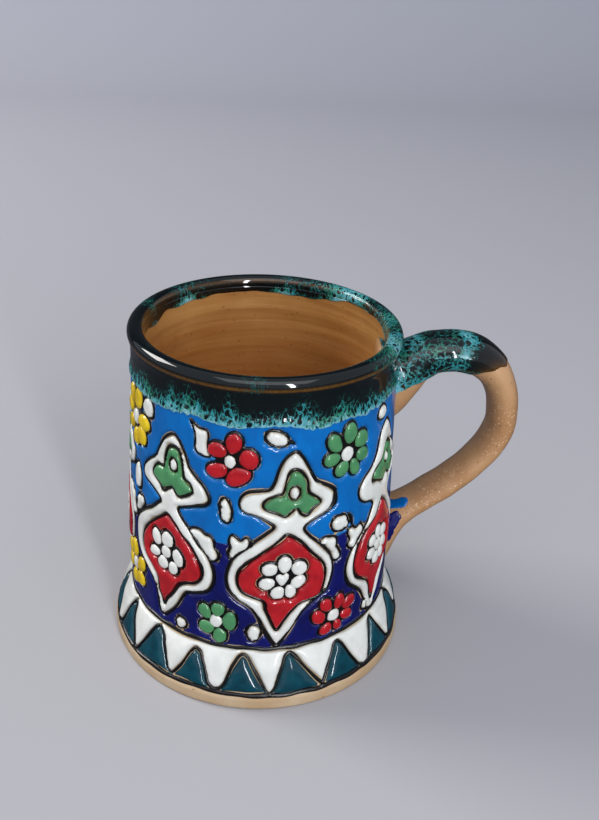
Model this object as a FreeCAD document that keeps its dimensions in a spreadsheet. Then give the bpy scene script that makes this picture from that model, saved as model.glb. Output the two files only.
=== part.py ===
import FreeCAD, Part

import math
import os
import re

import Sketcher

# An earthenware mug: a turned body with a pulled strap handle luted on before firing.
# Coloured enamels stand proud of the wall in separate fields, with bare clay between them.
# Body, handle and enamels are fired together, so the whole mug is one solid.
# Frame: +Z up, origin at the middle of the foot, handle towards +X, millimetres.

# Alias, value and meaning of every driving size. Lengths are in mm and angles in degrees.
SIZES = [
    ("mug_height", 105.0, "floor to the top of the lip"),
    ("foot_radius", 46.8, "outside of the foot"),
    ("foot_band", 4.8, "height of the bare band round the foot"),
    ("foot_bevel", 0.9, "softening of the foot's outer edges"),
    ("skirt_top", 18.5, "height at which the flared skirt meets the wall"),
    ("skirt_ledge", 1.4, "step from the foot band in to the skirt's clay"),
    ("waist_radius", 40.6, "wall at the top of the skirt, with its ground enamel"),
    ("neck_radius", 38.5, "wall under the lip"),
    ("neck_below_lip", 6.8, "top of the lip down to the neck"),
    ("lip_inset", 1.25, "middle of the rolled lip inside the neck's surface"),
    ("lip_bead", 2.25, "radius of the lip's bead"),
    ("neck_thick", 3.2, "least thickness of the wall at the neck"),
    ("waist_thick", 5.0, "least thickness of the wall at the top of the skirt"),
    ("floor_thick", 7.0, "floor inside the mug"),
    ("floor_round", 9.0, "rounding between floor and wall"),
    ("enamel_rise", 0.6, "how far an enamel field stands proud of the wall"),
    ("inner_rise", 0.4, "how far heart and trefoil stand proud of their medallion"),
    ("enamel_key", 0.8, "how far an enamel's solid reaches into the clay"),
    ("skirt_rise", 0.7, "how far the skirt's enamel stands proud of its clay"),
    ("skirt_gap", 1.3, "bare clay between the foot band and the skirt's enamel"),
    ("rim_glaze", 14.5, "top of the lip down to the edge of the rim's glaze"),
    ("tooth_count", 18, "teeth in the sawtooth border on the skirt"),
    ("tooth_below", 2.4, "top of the skirt down to the teeth's points"),
    ("tooth_blunt", 0.6, "width of a tooth's blunt point"),
    ("medallion_count", 7, "medallions round the wall"),
    ("handle_gap_angle", 63.2, "angle between the two medallions beside the handle"),
    ("medallion_foot", 20.6, "height of a medallion's lower tip"),
    ("medallion_tall", 62.2, "height of a medallion"),
    ("medallion_wide", 29.6, "width of a medallion"),
    ("heart_foot", 28.0, "height of the heart's lower tip"),
    ("heart_tall", 29.2, "height of the heart"),
    ("heart_wide", 23.6, "width of the heart"),
    ("trefoil_foot", 64.6, "height of the trefoil's foot"),
    ("trefoil_tall", 13.4, "height of the trefoil"),
    ("trefoil_wide", 15.2, "width of the trefoil"),
    ("petal_count", 6, "petals of a rosette"),
    ("petal_reach", 7.6, "middle of a rosette to the tips of its petals"),
    ("petal_root", 3.4, "middle of a rosette to the notch between two petals"),
    ("upper_rosette", 80.5, "height of the upper row of rosettes"),
    ("lower_rosette", 28.4, "height of the lower row of rosettes"),
    ("root_seat", 2.4, "how deep a handle's root is set into the wall"),
    ("root_wide", 17.4, "width of a root at the wall"),
    ("upper_root_below", 20.0, "top of the lip down to the middle of the upper root"),
    ("upper_root_tall", 25.0, "height of the upper root's flare"),
    ("shoulder_out", 6.8, "wall to the handle's shoulder"),
    ("shoulder_below", 10.6, "top of the lip down to the shoulder"),
    ("shoulder_thick", 11.9, "thickness at the shoulder"),
    ("crown_out", 19.2, "wall to the handle's crown"),
    ("crown_below", 9.6, "top of the lip down to the crown"),
    ("crown_thick", 11.2, "thickness at the crown"),
    ("elbow_out", 30.8, "wall to the handle's elbow"),
    ("elbow_below", 20.1, "top of the lip down to the elbow"),
    ("elbow_thick", 9.9, "thickness at the elbow"),
    ("bow_out", 32.2, "wall to the handle's bow, where it reaches furthest"),
    ("bow_below", 35.2, "top of the lip down to the bow"),
    ("bow_thick", 8.7, "thickness at the bow"),
    ("heel_out", 23.8, "wall to the handle's heel, where it turns back"),
    ("heel_height", 56.2, "height of the heel"),
    ("heel_thick", 7.9, "thickness at the heel"),
    ("wrist_out", 11.4, "wall to the handle's wrist"),
    ("wrist_height", 46.1, "height of the wrist"),
    ("wrist_thick", 7.7, "thickness at the wrist"),
    ("ankle_out", 4.2, "wall to the handle's ankle, above the lower root"),
    ("ankle_height", 40.3, "height of the ankle"),
    ("ankle_thick", 9.4, "thickness at the ankle"),
    ("grip_wide", 14.6, "width of the handle's strap"),
    ("lower_root_height", 30.5, "height of the middle of the lower root"),
    ("lower_root_tall", 34.0, "height of the lower root's flare"),
]

# Half outlines from the top to the lower tip: shares of half the width and of the height.
MEDALLION_HALF = [
    (0.00, 1.000), (0.27, 0.900), (0.41, 0.848), (0.86, 0.785), (0.81, 0.733), (0.28, 0.641),
    (0.95, 0.470), (0.98, 0.330), (0.66, 0.255), (0.35, 0.146), (0.00, 0.000),
]
HEART_HALF = [(0.00, 1.00), (0.90, 0.65), (0.96, 0.46), (0.42, 0.25), (0.00, 0.00)]
TREFOIL_HALF = [(0.00, 1.00), (0.38, 0.55), (1.00, 0.30), (0.80, 0.03), (0.00, 0.15)]
FULL_TURN = 360
LIP_SIDES = 8
FLOOR_STEPS = 2
SECTION_SIDES = 12
SPAN_STEPS = 3

doc = FreeCAD.newDocument("mug")


def make_sheet():
    """The spreadsheet that holds the driving sizes."""
    table = doc.addObject("Spreadsheet::Sheet", "Sizes")
    for row, (alias, value, meaning) in enumerate(SIZES, start=1):
        table.set(f"A{row}", meaning)
        table.set(f"B{row}", str(value))
        table.setAlias(f"B{row}", alias)
    doc.recompute()
    return table


sheet = make_sheet()


def size(alias):
    """A driving size, as the sheet holds it."""
    return float(sheet.get(alias))


def value_of(expression):
    """The plain number that an expression on the sheet gives."""
    result = sheet.evalExpression(expression)
    return float(getattr(result, "Value", result))


def bind(thing, place, expression):
    """Makes a property follow an expression on the sheet, whose aliases all hold an underscore."""
    thing.setExpression(place, re.sub("[a-z]+(_[a-z]+)+", r"Sizes.\g<0>", expression))


def upright_sketch(body, name):
    """A sketch on a body's upright XZ plane: x runs across, y is the height."""
    sketch = body.newObject("Sketcher::SketchObject", name)
    plane = next(item for item in body.Origin.OriginFeatures if item.Role == "XZ_Plane")
    sketch.AttachmentSupport = [(plane, "")]
    sketch.MapMode = "FlatFace"
    return sketch


def free_sketch(name):
    """A sketch on the upright XZ plane that belongs to no body."""
    sketch = doc.addObject("Sketcher::SketchObject", name)
    sketch.Placement = FreeCAD.Placement(FreeCAD.Vector(), FreeCAD.Rotation(0, 0, 90))
    return sketch


def draw(sketch, corners):
    """Draws a closed outline of straight sides through corners, as pairs of expressions."""
    spots = [FreeCAD.Vector(value_of(x), value_of(y), 0) for x, y in corners]
    first = sketch.GeometryCount
    sketch.addGeometry([Part.LineSegment(start, end)
                        for start, end in zip(spots, spots[1:] + spots[:1])])
    rules = []
    for side, spot in enumerate(spots):
        after = (side + 1) % len(spots)
        rules.append(Sketcher.Constraint("DistanceX", -1, 1, first + side, 1, spot.x))
        rules.append(Sketcher.Constraint("DistanceY", -1, 1, first + side, 1, spot.y))
        rules.append(Sketcher.Constraint("Coincident", first + side, 2, first + after, 1))
    number = sketch.ConstraintCount
    sketch.addConstraint(rules)
    for across, height in corners:
        bind(sketch, f"Constraints[{number}]", across)
        bind(sketch, f"Constraints[{number + 1}]", height)
        number += 3


def revolve(body, name, corners):
    """Turns a bound outline once round a body's upright axis."""
    sketch = upright_sketch(body, name + "Outline")
    draw(sketch, corners)
    turned = body.newObject("PartDesign::Revolution", name)
    turned.Profile = sketch
    turned.ReferenceAxis = (sketch, ["V_Axis"])
    turned.Angle = FULL_TURN
    doc.recompute()
    return turned


# Heights and radii that several pieces share, as expressions on the sheet.
NECK_HEIGHT = "(mug_height - neck_below_lip)"
LIP_HEIGHT = "(mug_height - lip_bead)"
GLAZE_EDGE = "(mug_height - rim_glaze)"
BORE_RADIUS = "min(neck_radius - neck_thick; waist_radius - waist_thick)"


def between(low, high, height):
    """Radius at a height on the straight line from one (radius, height) corner to another."""
    rise = f"({high[1]} - {low[1]})"
    return f"({low[0]} + ({high[0]} - {low[0]}) * ({height} - {low[1]}) / {rise})"


def wall_at(height):
    """Radius of the clay wall at a height."""
    return between(("waist_radius", "skirt_top"), ("neck_radius", NECK_HEIGHT), height)


def skirt_at(height):
    """Radius of the skirt's clay at a height."""
    return between(("(foot_radius - skirt_ledge)", "foot_band"), ("waist_radius", "skirt_top"),
                   height)


def make_pot():
    """The turned body before it is hollowed: foot, skirt, wall and neck."""
    body = doc.addObject("PartDesign::Body", "Pot")
    turned = revolve(body, "PotTurned", [
        ("0", "0"), ("foot_radius", "0"), ("foot_radius", "foot_band"),
        ("foot_radius - skirt_ledge", "foot_band"), ("waist_radius", "skirt_top"),
        ("neck_radius", NECK_HEIGHT), ("neck_radius", LIP_HEIGHT), ("0", LIP_HEIGHT),
    ])
    outer = [f"Edge{number}" for number, edge in enumerate(turned.Shape.Edges, start=1)
             if edge.BoundBox.ZLength < 1e-6
             and abs(edge.BoundBox.XMax - size("foot_radius")) < 1e-6]
    softened = body.newObject("PartDesign::Chamfer", "FootBevel")
    softened.Base = (turned, outer)
    bind(softened, "Size", "foot_bevel")
    doc.recompute()
    return body


def make_hollow():
    """The room inside the mug, as the solid that is cut away."""
    body = doc.addObject("PartDesign::Body", "Hollow")
    above, foot = "(mug_height + lip_bead)", "(floor_thick + floor_round)"
    corners = [("0", "floor_thick")]
    for step in range(FLOOR_STEPS + 1):
        turn = FULL_TURN / 4 * step / FLOOR_STEPS
        corners.append((f"{BORE_RADIUS} - floor_round * (1 - sin({turn} deg))",
                        f"{foot} - floor_round * cos({turn} deg)"))
    corners += [(BORE_RADIUS, above), ("0", above)]
    revolve(body, "HollowTurned", corners)
    return body


def make_lip():
    """The rolled bead that closes the wall."""
    body = doc.addObject("PartDesign::Body", "Lip")
    revolve(body, "LipTurned", [
        (f"neck_radius - lip_inset + {across}", f"{LIP_HEIGHT} + {upward}")
        for across, upward in ring_corners("lip_bead", LIP_SIDES)])
    return body


def make_coat(name, bottom, top, surface, rise):
    """A ring of enamel between two heights, proud of a surface and keyed into it."""
    body = doc.addObject("PartDesign::Body", name)
    revolve(body, name + "Turned", [
        (f"{surface(bottom)} - enamel_key", bottom), (f"{surface(bottom)} + {rise}", bottom),
        (f"{surface(top)} + {rise}", top), (f"{surface(top)} - enamel_key", top),
    ])
    return body


def make_skirt_coat():
    """The skirt's enamel, cut into upright teeth by the gaps between them."""
    tip = "(skirt_top - tooth_below)"
    body = make_coat("SkirtCoat", "foot_band + skirt_gap", tip, skirt_at, "skirt_rise")
    half = f"({skirt_at(tip)} * sin({FULL_TURN / 2} deg / tooth_count) - tooth_blunt / 2)"
    reach = f"{half} * (skirt_top - foot_band) / ({tip} - foot_band)"
    sketch = upright_sketch(body, "ToothGap")
    draw(sketch, [("0", "foot_band"), (reach, "skirt_top"), ("-" + reach, "skirt_top")])
    gap = body.newObject("PartDesign::Pocket", "ToothPocket")
    gap.Profile = sketch
    gap.Reversed = True
    bind(gap, "Length", "foot_radius")
    doc.recompute()
    teeth = body.newObject("PartDesign::PolarPattern", "Teeth")
    teeth.Originals = [gap]
    teeth.Axis = (sketch, ["V_Axis"])
    teeth.Angle = FULL_TURN
    bind(teeth, "Occurrences", "tooth_count")
    body.Tip = teeth
    doc.recompute()
    return body


def motif(name, half):
    """A motif's stamp; its half outline is given as shares of its own width and height."""
    wide, foot, tall = (f"{name.lower()}_{part}" for part in ("wide", "foot", "tall"))
    right = [(f"{wide} / 2 * {share}", f"{foot} + {tall} * {level}") for share, level in half]
    left = [("-" + across, height) for across, height in right[-2:0:-1]]
    sketch = free_sketch(name + "Outline")
    draw(sketch, right + left)
    return outward(name, sketch)


def outward(name, flat):
    """A flat shape drawn out from the mug's axis to beyond its wall, towards -Y."""
    drawn = doc.addObject("Part::Extrusion", name)
    drawn.Base = flat
    drawn.DirMode = "Custom"
    drawn.Dir = FreeCAD.Vector(0, -1, 0)
    drawn.Solid = True
    bind(drawn, "LengthFwd", "foot_radius")
    return drawn


def make_rosette():
    """One rosette's stamp, facing -Y at height 0: petals in one outline with notches between."""
    corners = []
    for petal in range(round(size("petal_count"))):
        for radius, share in (("petal_reach", 0), ("petal_root", 0.5)):
            turn = f"({FULL_TURN} deg * ({petal} + {share}) / petal_count)"
            corners.append((f"{radius} * cos{turn}", f"{radius} * sin{turn}"))
    sketch = free_sketch("RosetteOutline")
    draw(sketch, corners)
    return outward("Rosette", sketch)


def ring_corners(radius, sides):
    """Corners of a regular outline round the origin, the first of them at the top."""
    turns = [FULL_TURN * (0.25 + side / sides) for side in range(sides)]
    return [(f"{radius} * cos({turn} deg)", f"{radius} * sin({turn} deg)") for turn in turns]


def lifted(name, rosette):
    """A rosette raised to the height of its row, which the sheet names after it."""
    row = doc.addObject("Part::Compound", name)
    row.Links = [rosette]
    bind(row, "Placement.Base.z", "upper_rosette" if name == "UpperRosette" else "lower_rosette")
    return row


def turned_copies(name, source, turns):
    """One compound of copies of a shape, turned about the mug's axis."""
    copies = []
    for turn in turns:
        copy = source.Shape.copy()
        copy.rotate(FreeCAD.Vector(), FreeCAD.Vector(0, 0, 1), turn)
        copies.append(copy)
    group = doc.addObject("Part::Feature", name)
    group.Shape = Part.makeCompound(copies)
    return group


def make_wall_fields():
    """The enamels of the wall: medallions with their hearts and trefoils, and the rosettes."""
    fields = make_coat("FieldCoat", "skirt_top", GLAZE_EDGE, wall_at, "enamel_rise")
    inner = make_coat("InnerCoat", "skirt_top", GLAZE_EDGE, wall_at, "enamel_rise + inner_rise")
    rosette = make_rosette()
    motifs = [
        (fields, motif("Medallion", MEDALLION_HALF), False),
        (inner, motif("Heart", HEART_HALF), False),
        (inner, motif("Trefoil", TREFOIL_HALF), False),
        (fields, lifted("UpperRosette", rosette), True),
        (fields, lifted("LowerRosette", rosette), True),
    ]
    count = round(size("medallion_count"))
    step = (FULL_TURN - size("handle_gap_angle")) / (count - 1)
    # A motif faces -Y as drawn, a quarter turn before the handle.
    first = FULL_TURN / 4 + size("handle_gap_angle") / 2
    turns = [first + step * number for number in range(count)]
    gap_turns = [turn + step / 2 for turn in turns[:-1]]
    enamels = []
    for coat, stamp, in_gaps in motifs:
        field = doc.addObject("Part::Common", stamp.Name + "Field")
        field.Base = coat
        field.Tool = stamp
        doc.recompute()
        enamels.append(turned_copies(stamp.Name + "s", field, gap_turns if in_gaps else turns))
    return enamels


def section(centre, along, tall, wide):
    """A closed many-sided oval, square to a direction in the XZ plane, with its width along Y."""
    across = FreeCAD.Vector(-along.z, 0, along.x).normalize()
    points = []
    for side in range(SECTION_SIDES):
        turn = 2 * math.pi * (side + 0.5) / SECTION_SIDES
        points.append(centre + across * (tall / 2 * math.cos(turn))
                      + FreeCAD.Vector(0, wide / 2 * math.sin(turn), 0))
    outline = doc.addObject("Part::Feature", "HandleSection")
    outline.Shape = Part.makePolygon(points + points[:1])
    return outline


def root_section(height, tall, side):
    """The section of a handle's root, set upright into the wall; side is the way it faces."""
    centre = FreeCAD.Vector(value_of(wall_at(str(height))) - size("root_seat"), 0, height)
    return section(centre, FreeCAD.Vector(side, 0, 0), tall, size("root_wide"))


def make_handle():
    """The strap handle, lofted from the upper root over the bow to the lower root."""
    lip, wall = size("mug_height"), size("waist_radius")
    stations = [(wall + size(name + "_out"), lip - size(name + "_below"), size(name + "_thick"))
                for name in ("shoulder", "crown", "elbow", "bow")]
    stations += [(wall + size(name + "_out"), size(name + "_height"), size(name + "_thick"))
                 for name in ("heel", "wrist", "ankle")]
    # One smooth curve carries the strap's place in X and Z, and its thickness in Y.
    strap = Part.BSplineCurve()
    strap.interpolate(Points=[FreeCAD.Vector(reach, thick, height)
                              for reach, height, thick in stations],
                      Parameters=list(range(len(stations))))
    sections = [root_section(lip - size("upper_root_below"), size("upper_root_tall"), 1)]
    for number in range((len(stations) - 1) * SPAN_STEPS + 1):
        spot = strap.value(number / SPAN_STEPS)
        along = strap.tangent(number / SPAN_STEPS)[0]
        sections.append(section(FreeCAD.Vector(spot.x, 0, spot.z),
                                FreeCAD.Vector(along.x, 0, along.z), spot.y, size("grip_wide")))
    sections.append(root_section(size("lower_root_height"), size("lower_root_tall"), -1))
    loft = doc.addObject("Part::Loft", "Handle")
    loft.Sections = sections
    loft.Solid = True
    loft.Ruled = True
    return loft


def fused(name, parts):
    """One solid from several parts."""
    result = doc.addObject("Part::MultiFuse", name)
    result.Shapes = parts
    return result


def make_mug():
    """The whole mug: hollowed pot with its handle, then the lip and the enamels on it."""
    cup = doc.addObject("Part::Cut", "Cup")
    cup.Base = fused("PotWithHandle", [make_pot(), make_handle()])
    cup.Tool = make_hollow()
    rim = make_coat("RimCoat", GLAZE_EDGE, NECK_HEIGHT, wall_at, "enamel_rise")
    whole = fused("mug", [cup, make_lip(), make_skirt_coat(), rim] + make_wall_fields())
    doc.recompute()
    return whole


def check_document(solid):
    """Stops if any object of the document failed, or if the finished solid isn't sound."""
    for thing in doc.Objects:
        if "Invalid" in thing.State or "Error" in thing.State:
            raise RuntimeError(f"{thing.Name} failed: {thing.State}")
    if solid.Shape.isNull() or not solid.Shape.isValid():
        raise RuntimeError(f"{solid.Name} has no sound shape")


mug = make_mug()
check_document(mug)
os.makedirs("parts", exist_ok=True)
mug.Shape.exportStep("parts/mug.step")
print(f"mug: {len(mug.Shape.Solids)} solid of {mug.Shape.Volume:.0f} cubic millimetres")
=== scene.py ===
"""An earthenware mug with raised enamels, a running rim glaze and a pulled strap handle.

Pieces are worked out in millimetres and made in metres. The wall is drawn flat first: "along"
runs round the wall at its middle radius from the line that faces the viewer, and height is up.
"""

import logging
import math
from collections.abc import Callable, Iterable, Sequence
from dataclasses import dataclass
from enum import Enum

import bpy
import numpy as np
from mathutils import Matrix, Vector, geometry, kdtree, noise


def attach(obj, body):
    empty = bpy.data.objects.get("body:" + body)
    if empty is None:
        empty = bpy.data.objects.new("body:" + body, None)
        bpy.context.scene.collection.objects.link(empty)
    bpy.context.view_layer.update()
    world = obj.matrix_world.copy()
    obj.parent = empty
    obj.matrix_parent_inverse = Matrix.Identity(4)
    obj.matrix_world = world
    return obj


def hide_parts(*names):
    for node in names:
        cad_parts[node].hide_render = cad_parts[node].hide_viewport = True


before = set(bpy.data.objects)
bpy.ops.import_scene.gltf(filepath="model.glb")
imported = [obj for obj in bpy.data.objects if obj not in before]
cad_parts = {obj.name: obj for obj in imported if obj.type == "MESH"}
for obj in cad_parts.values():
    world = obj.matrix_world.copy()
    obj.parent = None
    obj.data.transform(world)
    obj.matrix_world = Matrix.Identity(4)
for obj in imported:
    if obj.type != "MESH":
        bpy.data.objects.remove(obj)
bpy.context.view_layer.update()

LOG = logging.getLogger("mug")
MM = 0.001
TAU = 2 * math.pi
BODY = "root"
NODE = "mug"
# The turn about the mug's axis that faces the viewer, where the handle is at 0.
FRONT_TURN = math.radians(-93.0)
# The radius at which the wall is drawn flat, its girth there, and where the drawing's ends meet.
DRAWN_RADIUS = 40.5
GIRTH = TAU * DRAWN_RADIUS
SEAM = -FRONT_TURN * DRAWN_RADIUS
# Distance between the points of a drawn line, and how deep an enamel's underside lies in clay.
STEP = 0.42
SUNK = 0.3
Knots = Sequence[tuple[float, float]]
Value = float | int | tuple | bpy.types.NodeSocket


class Hue(Enum):
    """The enamels of the rosettes."""

    RED = "red"
    GREEN = "green"
    YELLOW = "yellow"


# Small tools.


def linear(code: str) -> tuple[float, float, float, float]:
    """Turns an sRGB hex colour into linear red, green, blue and alpha.

    Args:
        code: Six hex digits with a leading hash.

    Returns:
        The linear colour with full alpha.
    """
    parts = [int(code[place:place + 2], 16) / 255 for place in (1, 3, 5)]
    lit = [part / 12.92 if part <= 0.04045 else ((part + 0.055) / 1.055) ** 2.4 for part in parts]
    return (*lit, 1.0)


def add_node(tree: bpy.types.NodeTree, kind: str, inputs: dict[str | int, Value],
             **settings: object) -> bpy.types.Node:
    """Adds one node to a material.

    Args:
        tree: The material's node tree.
        kind: The node's type name.
        inputs: A number, colour or another node's output for each input socket.
        settings: The node's own properties.

    Returns:
        The new node.
    """
    node = tree.nodes.new(kind)
    for name, value in settings.items():
        setattr(node, name, value)
    for socket, value in inputs.items():
        if isinstance(value, bpy.types.NodeSocket):
            tree.links.new(value, node.inputs[socket])
        else:
            node.inputs[socket].default_value = value
    return node


def new_material(name: str) -> tuple[bpy.types.Material, bpy.types.NodeTree]:
    """Starts an empty node material.

    Args:
        name: The material's name.

    Returns:
        The material and its node tree.
    """
    material = bpy.data.materials.new(name)
    material.use_nodes = True
    material.node_tree.nodes.clear()
    return material, material.node_tree


def smooth_value(knots: Knots, at: np.ndarray, level: bool = True) -> np.ndarray:
    """Reads a smooth curve that runs through knots.

    Args:
        knots: Pairs of position and value, in rising order of position.
        at: Positions to read.
        level: Whether it is level at its highest and lowest knots, so never beyond them.

    Returns:
        The values there.
    """
    place, value = np.asarray(knots, float).T
    step = np.diff(place)
    rise = np.diff(value) / step
    one, two = rise[:-1], rise[1:]
    if level:
        same_way = one * two > 0
        middle = np.where(same_way, 2 * one * two / np.where(same_way, one + two, 1), 0)
    else:
        middle = (one * step[1:] + two * step[:-1]) / (step[1:] + step[:-1])
    slope = np.concatenate([rise[:1], middle, rise[-1:]])
    span = np.clip(np.searchsorted(place, at, side="right") - 1, 0, len(step) - 1)
    part = np.clip((at - place[span]) / step[span], 0, 1)
    ease = part * part * (3 - 2 * part)
    return (value[span] * (1 - ease) + value[span + 1] * ease
            + step[span] * part * (1 - part) * (slope[span] * (1 - part)
                                                - slope[span + 1] * part))


def closed_curve(corners: Knots, step: float) -> np.ndarray:
    """Draws a smooth closed line through corners, counter-clockwise.

    Args:
        corners: The points that it passes through, in mm.
        step: Distance between the points returned, in mm.

    Returns:
        Its points.
    """
    spots = np.asarray(corners, float)
    before, after, later = (np.roll(spots, shift, 0) for shift in (1, -1, -2))
    part = np.linspace(0, 1, 12, endpoint=False)[None, :, None]
    one, two, three, four = (item[:, None] for item in (before, spots, after, later))
    path = 0.5 * (2 * two + (three - one) * part + (2 * one - 5 * two + 4 * three - four)
                  * part ** 2 + (3 * two - one - 3 * three + four) * part ** 3)
    path = path.reshape(-1, 2)
    if area_of(path) < 0:
        path = path[::-1]
    return spaced(path, step, True)


def area_of(path: np.ndarray) -> float:
    """Area inside a closed path, negative if it runs clockwise."""
    after = np.roll(path, -1, 0)
    return float(np.sum(path[:, 0] * after[:, 1] - after[:, 0] * path[:, 1]) / 2)


def spaced(path: np.ndarray, step: float, closed: bool) -> np.ndarray:
    """Places points evenly along a path.

    Args:
        path: The path's points.
        step: Wanted distance between points, in mm.
        closed: Whether the path joins its own start.

    Returns:
        The evenly placed points.
    """
    line = np.vstack([path, path[:1]]) if closed else path
    run = np.concatenate([[0], np.cumsum(np.linalg.norm(np.diff(line, axis=0), axis=1))])
    count = max(8, round(run[-1] / step))
    at = np.linspace(0, run[-1], count, endpoint=not closed)
    return np.stack([np.interp(at, run, line[:, axis]) for axis in (0, 1)], 1)


def wander(count: int, rng: np.random.Generator, waves: int) -> np.ndarray:
    """A hand's slow unsteadiness round a closed line, between about -1 and 1.

    Args:
        count: Number of values.
        rng: Seeded source of chance.
        waves: Highest number of waves in the round.

    Returns:
        The values, which join at their ends.
    """
    turn = np.linspace(0, TAU, count, endpoint=False)
    total = np.zeros(count)
    for wave in range(1, waves + 1):
        total += rng.normal() * np.sin(wave * turn + rng.uniform(0, TAU))
    return total / math.sqrt(waves)


def within(path: np.ndarray, spots: np.ndarray) -> np.ndarray:
    """Tells which spots lie inside a closed path.

    Args:
        path: The path's points.
        spots: The spots to test.

    Returns:
        True for each spot inside.
    """
    found = np.zeros(len(spots), bool)
    near = np.flatnonzero(((spots >= path.min(0)) & (spots <= path.max(0))).all(1))
    after = np.roll(path, -1, 0)
    x, y = spots[near, 0][:, None], spots[near, 1][:, None]
    over = (path[:, 1] > y) != (after[:, 1] > y)
    fall = np.where(after[:, 1] == path[:, 1], 1, after[:, 1] - path[:, 1])
    meets = path[:, 0] + (y - path[:, 1]) / fall * (after[:, 0] - path[:, 0])
    found[near] = np.count_nonzero(over & (x < meets), axis=1) % 2 == 1
    return found


def within_any(paths: Iterable[np.ndarray], spots: np.ndarray) -> np.ndarray:
    """Tells which spots lie inside at least one of several closed paths.

    Args:
        paths: The paths' points.
        spots: The spots to test.

    Returns:
        True for each spot inside.
    """
    found = np.zeros(len(spots), bool)
    for path in paths:
        found |= within(path, spots)
    return found


def make_piece(name: str, points: np.ndarray, faces: Sequence[Sequence[int]], slot: str,
               finish: bpy.types.Material, **layers: np.ndarray) -> bpy.types.Object:
    """Makes a smooth-shaded mesh piece that rides on the mug's body.

    Args:
        name: The piece's name.
        points: Its corners, in mm.
        faces: Corner numbers of each face.
        slot: The record's material slot, not used.
        finish: Its material.
        layers: Values at each corner that the finish reads by name.

    Returns:
        The new object.
    """
    mesh = bpy.data.meshes.new(name)
    mesh.from_pydata((np.asarray(points) * MM).tolist(), [], [list(face) for face in faces])
    mesh.validate()
    mesh.polygons.foreach_set("use_smooth", [True] * len(mesh.polygons))
    for label, values in layers.items():
        layer = mesh.attributes.new(label, "FLOAT", "POINT")
        layer.data.foreach_set("value", np.asarray(values, np.float32).ravel())
    mesh.materials.append(finish)
    mesh.update()
    piece = bpy.data.objects.new(name, mesh)
    bpy.context.scene.collection.objects.link(piece)
    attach(piece, BODY)
    return piece


def ring_faces(rows: int, columns: int, join_rows: bool) -> np.ndarray:
    """Corner numbers of the quads of a grid whose columns run round a ring.

    Args:
        rows: Number of rows of corners.
        columns: Corners in each row, which closes on itself.
        join_rows: Whether the last row is joined to the first.

    Returns:
        One row of four corner numbers for each quad.
    """
    row = np.arange(rows if join_rows else rows - 1)[:, None]
    column = np.arange(columns)[None, :]
    below, above = row * columns, (row + 1) % rows * columns
    after = (column + 1) % columns
    return np.stack([below + column, below + after, above + after, above + column],
                    -1).reshape(-1, 4)


# Finishes.


@dataclass(frozen=True)
class Enamel:
    """Opaque lead-bearing enamel, poured thick between dark lines and fired to a gloss.

    It pools to a smooth cushion, with a deeper tone where it is thick, a dull thin edge and
    slow cloudy changes of tone. A melted surface is glassy, with a faint orange peel.
    """

    name: str
    body: str
    shade: str
    edge: str
    cloud: float = 5.0
    stretch: float = 1.0
    gloss: float = 0.11
    peel: float = 2.2

    def make(self) -> bpy.types.Material:
        """Builds the material.

        Returns:
            The material.
        """
        material, tree = new_material(self.name)
        place = add_node(tree, "ShaderNodeTexCoord", {}).outputs["Object"]
        # Brush-wide clouds, 4 to 7 mm, drawn out where the enamel ran.
        lay = add_node(tree, "ShaderNodeMapping", {
            "Vector": place, "Scale": (1, 1, self.stretch)}).outputs[0]
        cloud = add_node(tree, "ShaderNodeTexNoise", {
            "Vector": lay, "Scale": 1 / (self.cloud * MM), "Detail": 5, "Roughness": 0.6})
        amount = add_node(tree, "ShaderNodeMapRange", {
            0: cloud.outputs[0], "From Min": 0.36, "From Max": 0.68})
        toned = add_node(tree, "ShaderNodeMix", {
            0: amount.outputs[0], 6: linear(self.body), 7: linear(self.shade)},
            data_type="RGBA")
        # The thin edge, where the clay shows through, by distance from it in mm.
        depth = add_node(tree, "ShaderNodeAttribute", {}, attribute_name="depth")
        rim = add_node(tree, "ShaderNodeMapRange", {
            0: depth.outputs["Fac"], "From Min": 0.05, "From Max": 0.42, "To Min": 0.75,
            "To Max": 0})
        colour = add_node(tree, "ShaderNodeMix", {
            0: rim.outputs[0], 6: toned.outputs[2], 7: linear(self.edge)}, data_type="RGBA")
        peel = add_node(tree, "ShaderNodeTexNoise", {
            "Vector": place, "Scale": 1 / (self.peel * MM), "Detail": 2})
        bump = add_node(tree, "ShaderNodeBump", {
            "Height": peel.outputs[0], "Strength": 0.35, "Distance": 0.12 * MM})
        worn = add_node(tree, "ShaderNodeMapRange", {
            0: cloud.outputs[0], "From Min": 0.3, "From Max": 0.7, "To Min": self.gloss,
            "To Max": self.gloss * 1.9})
        shader = add_node(tree, "ShaderNodeBsdfPrincipled", {
            "Base Color": colour.outputs[2], "Roughness": worn.outputs[0], "IOR": 1.55,
            "Normal": bump.outputs[0]})
        add_node(tree, "ShaderNodeOutputMaterial", {"Surface": shader.outputs[0]})
        return material


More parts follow.
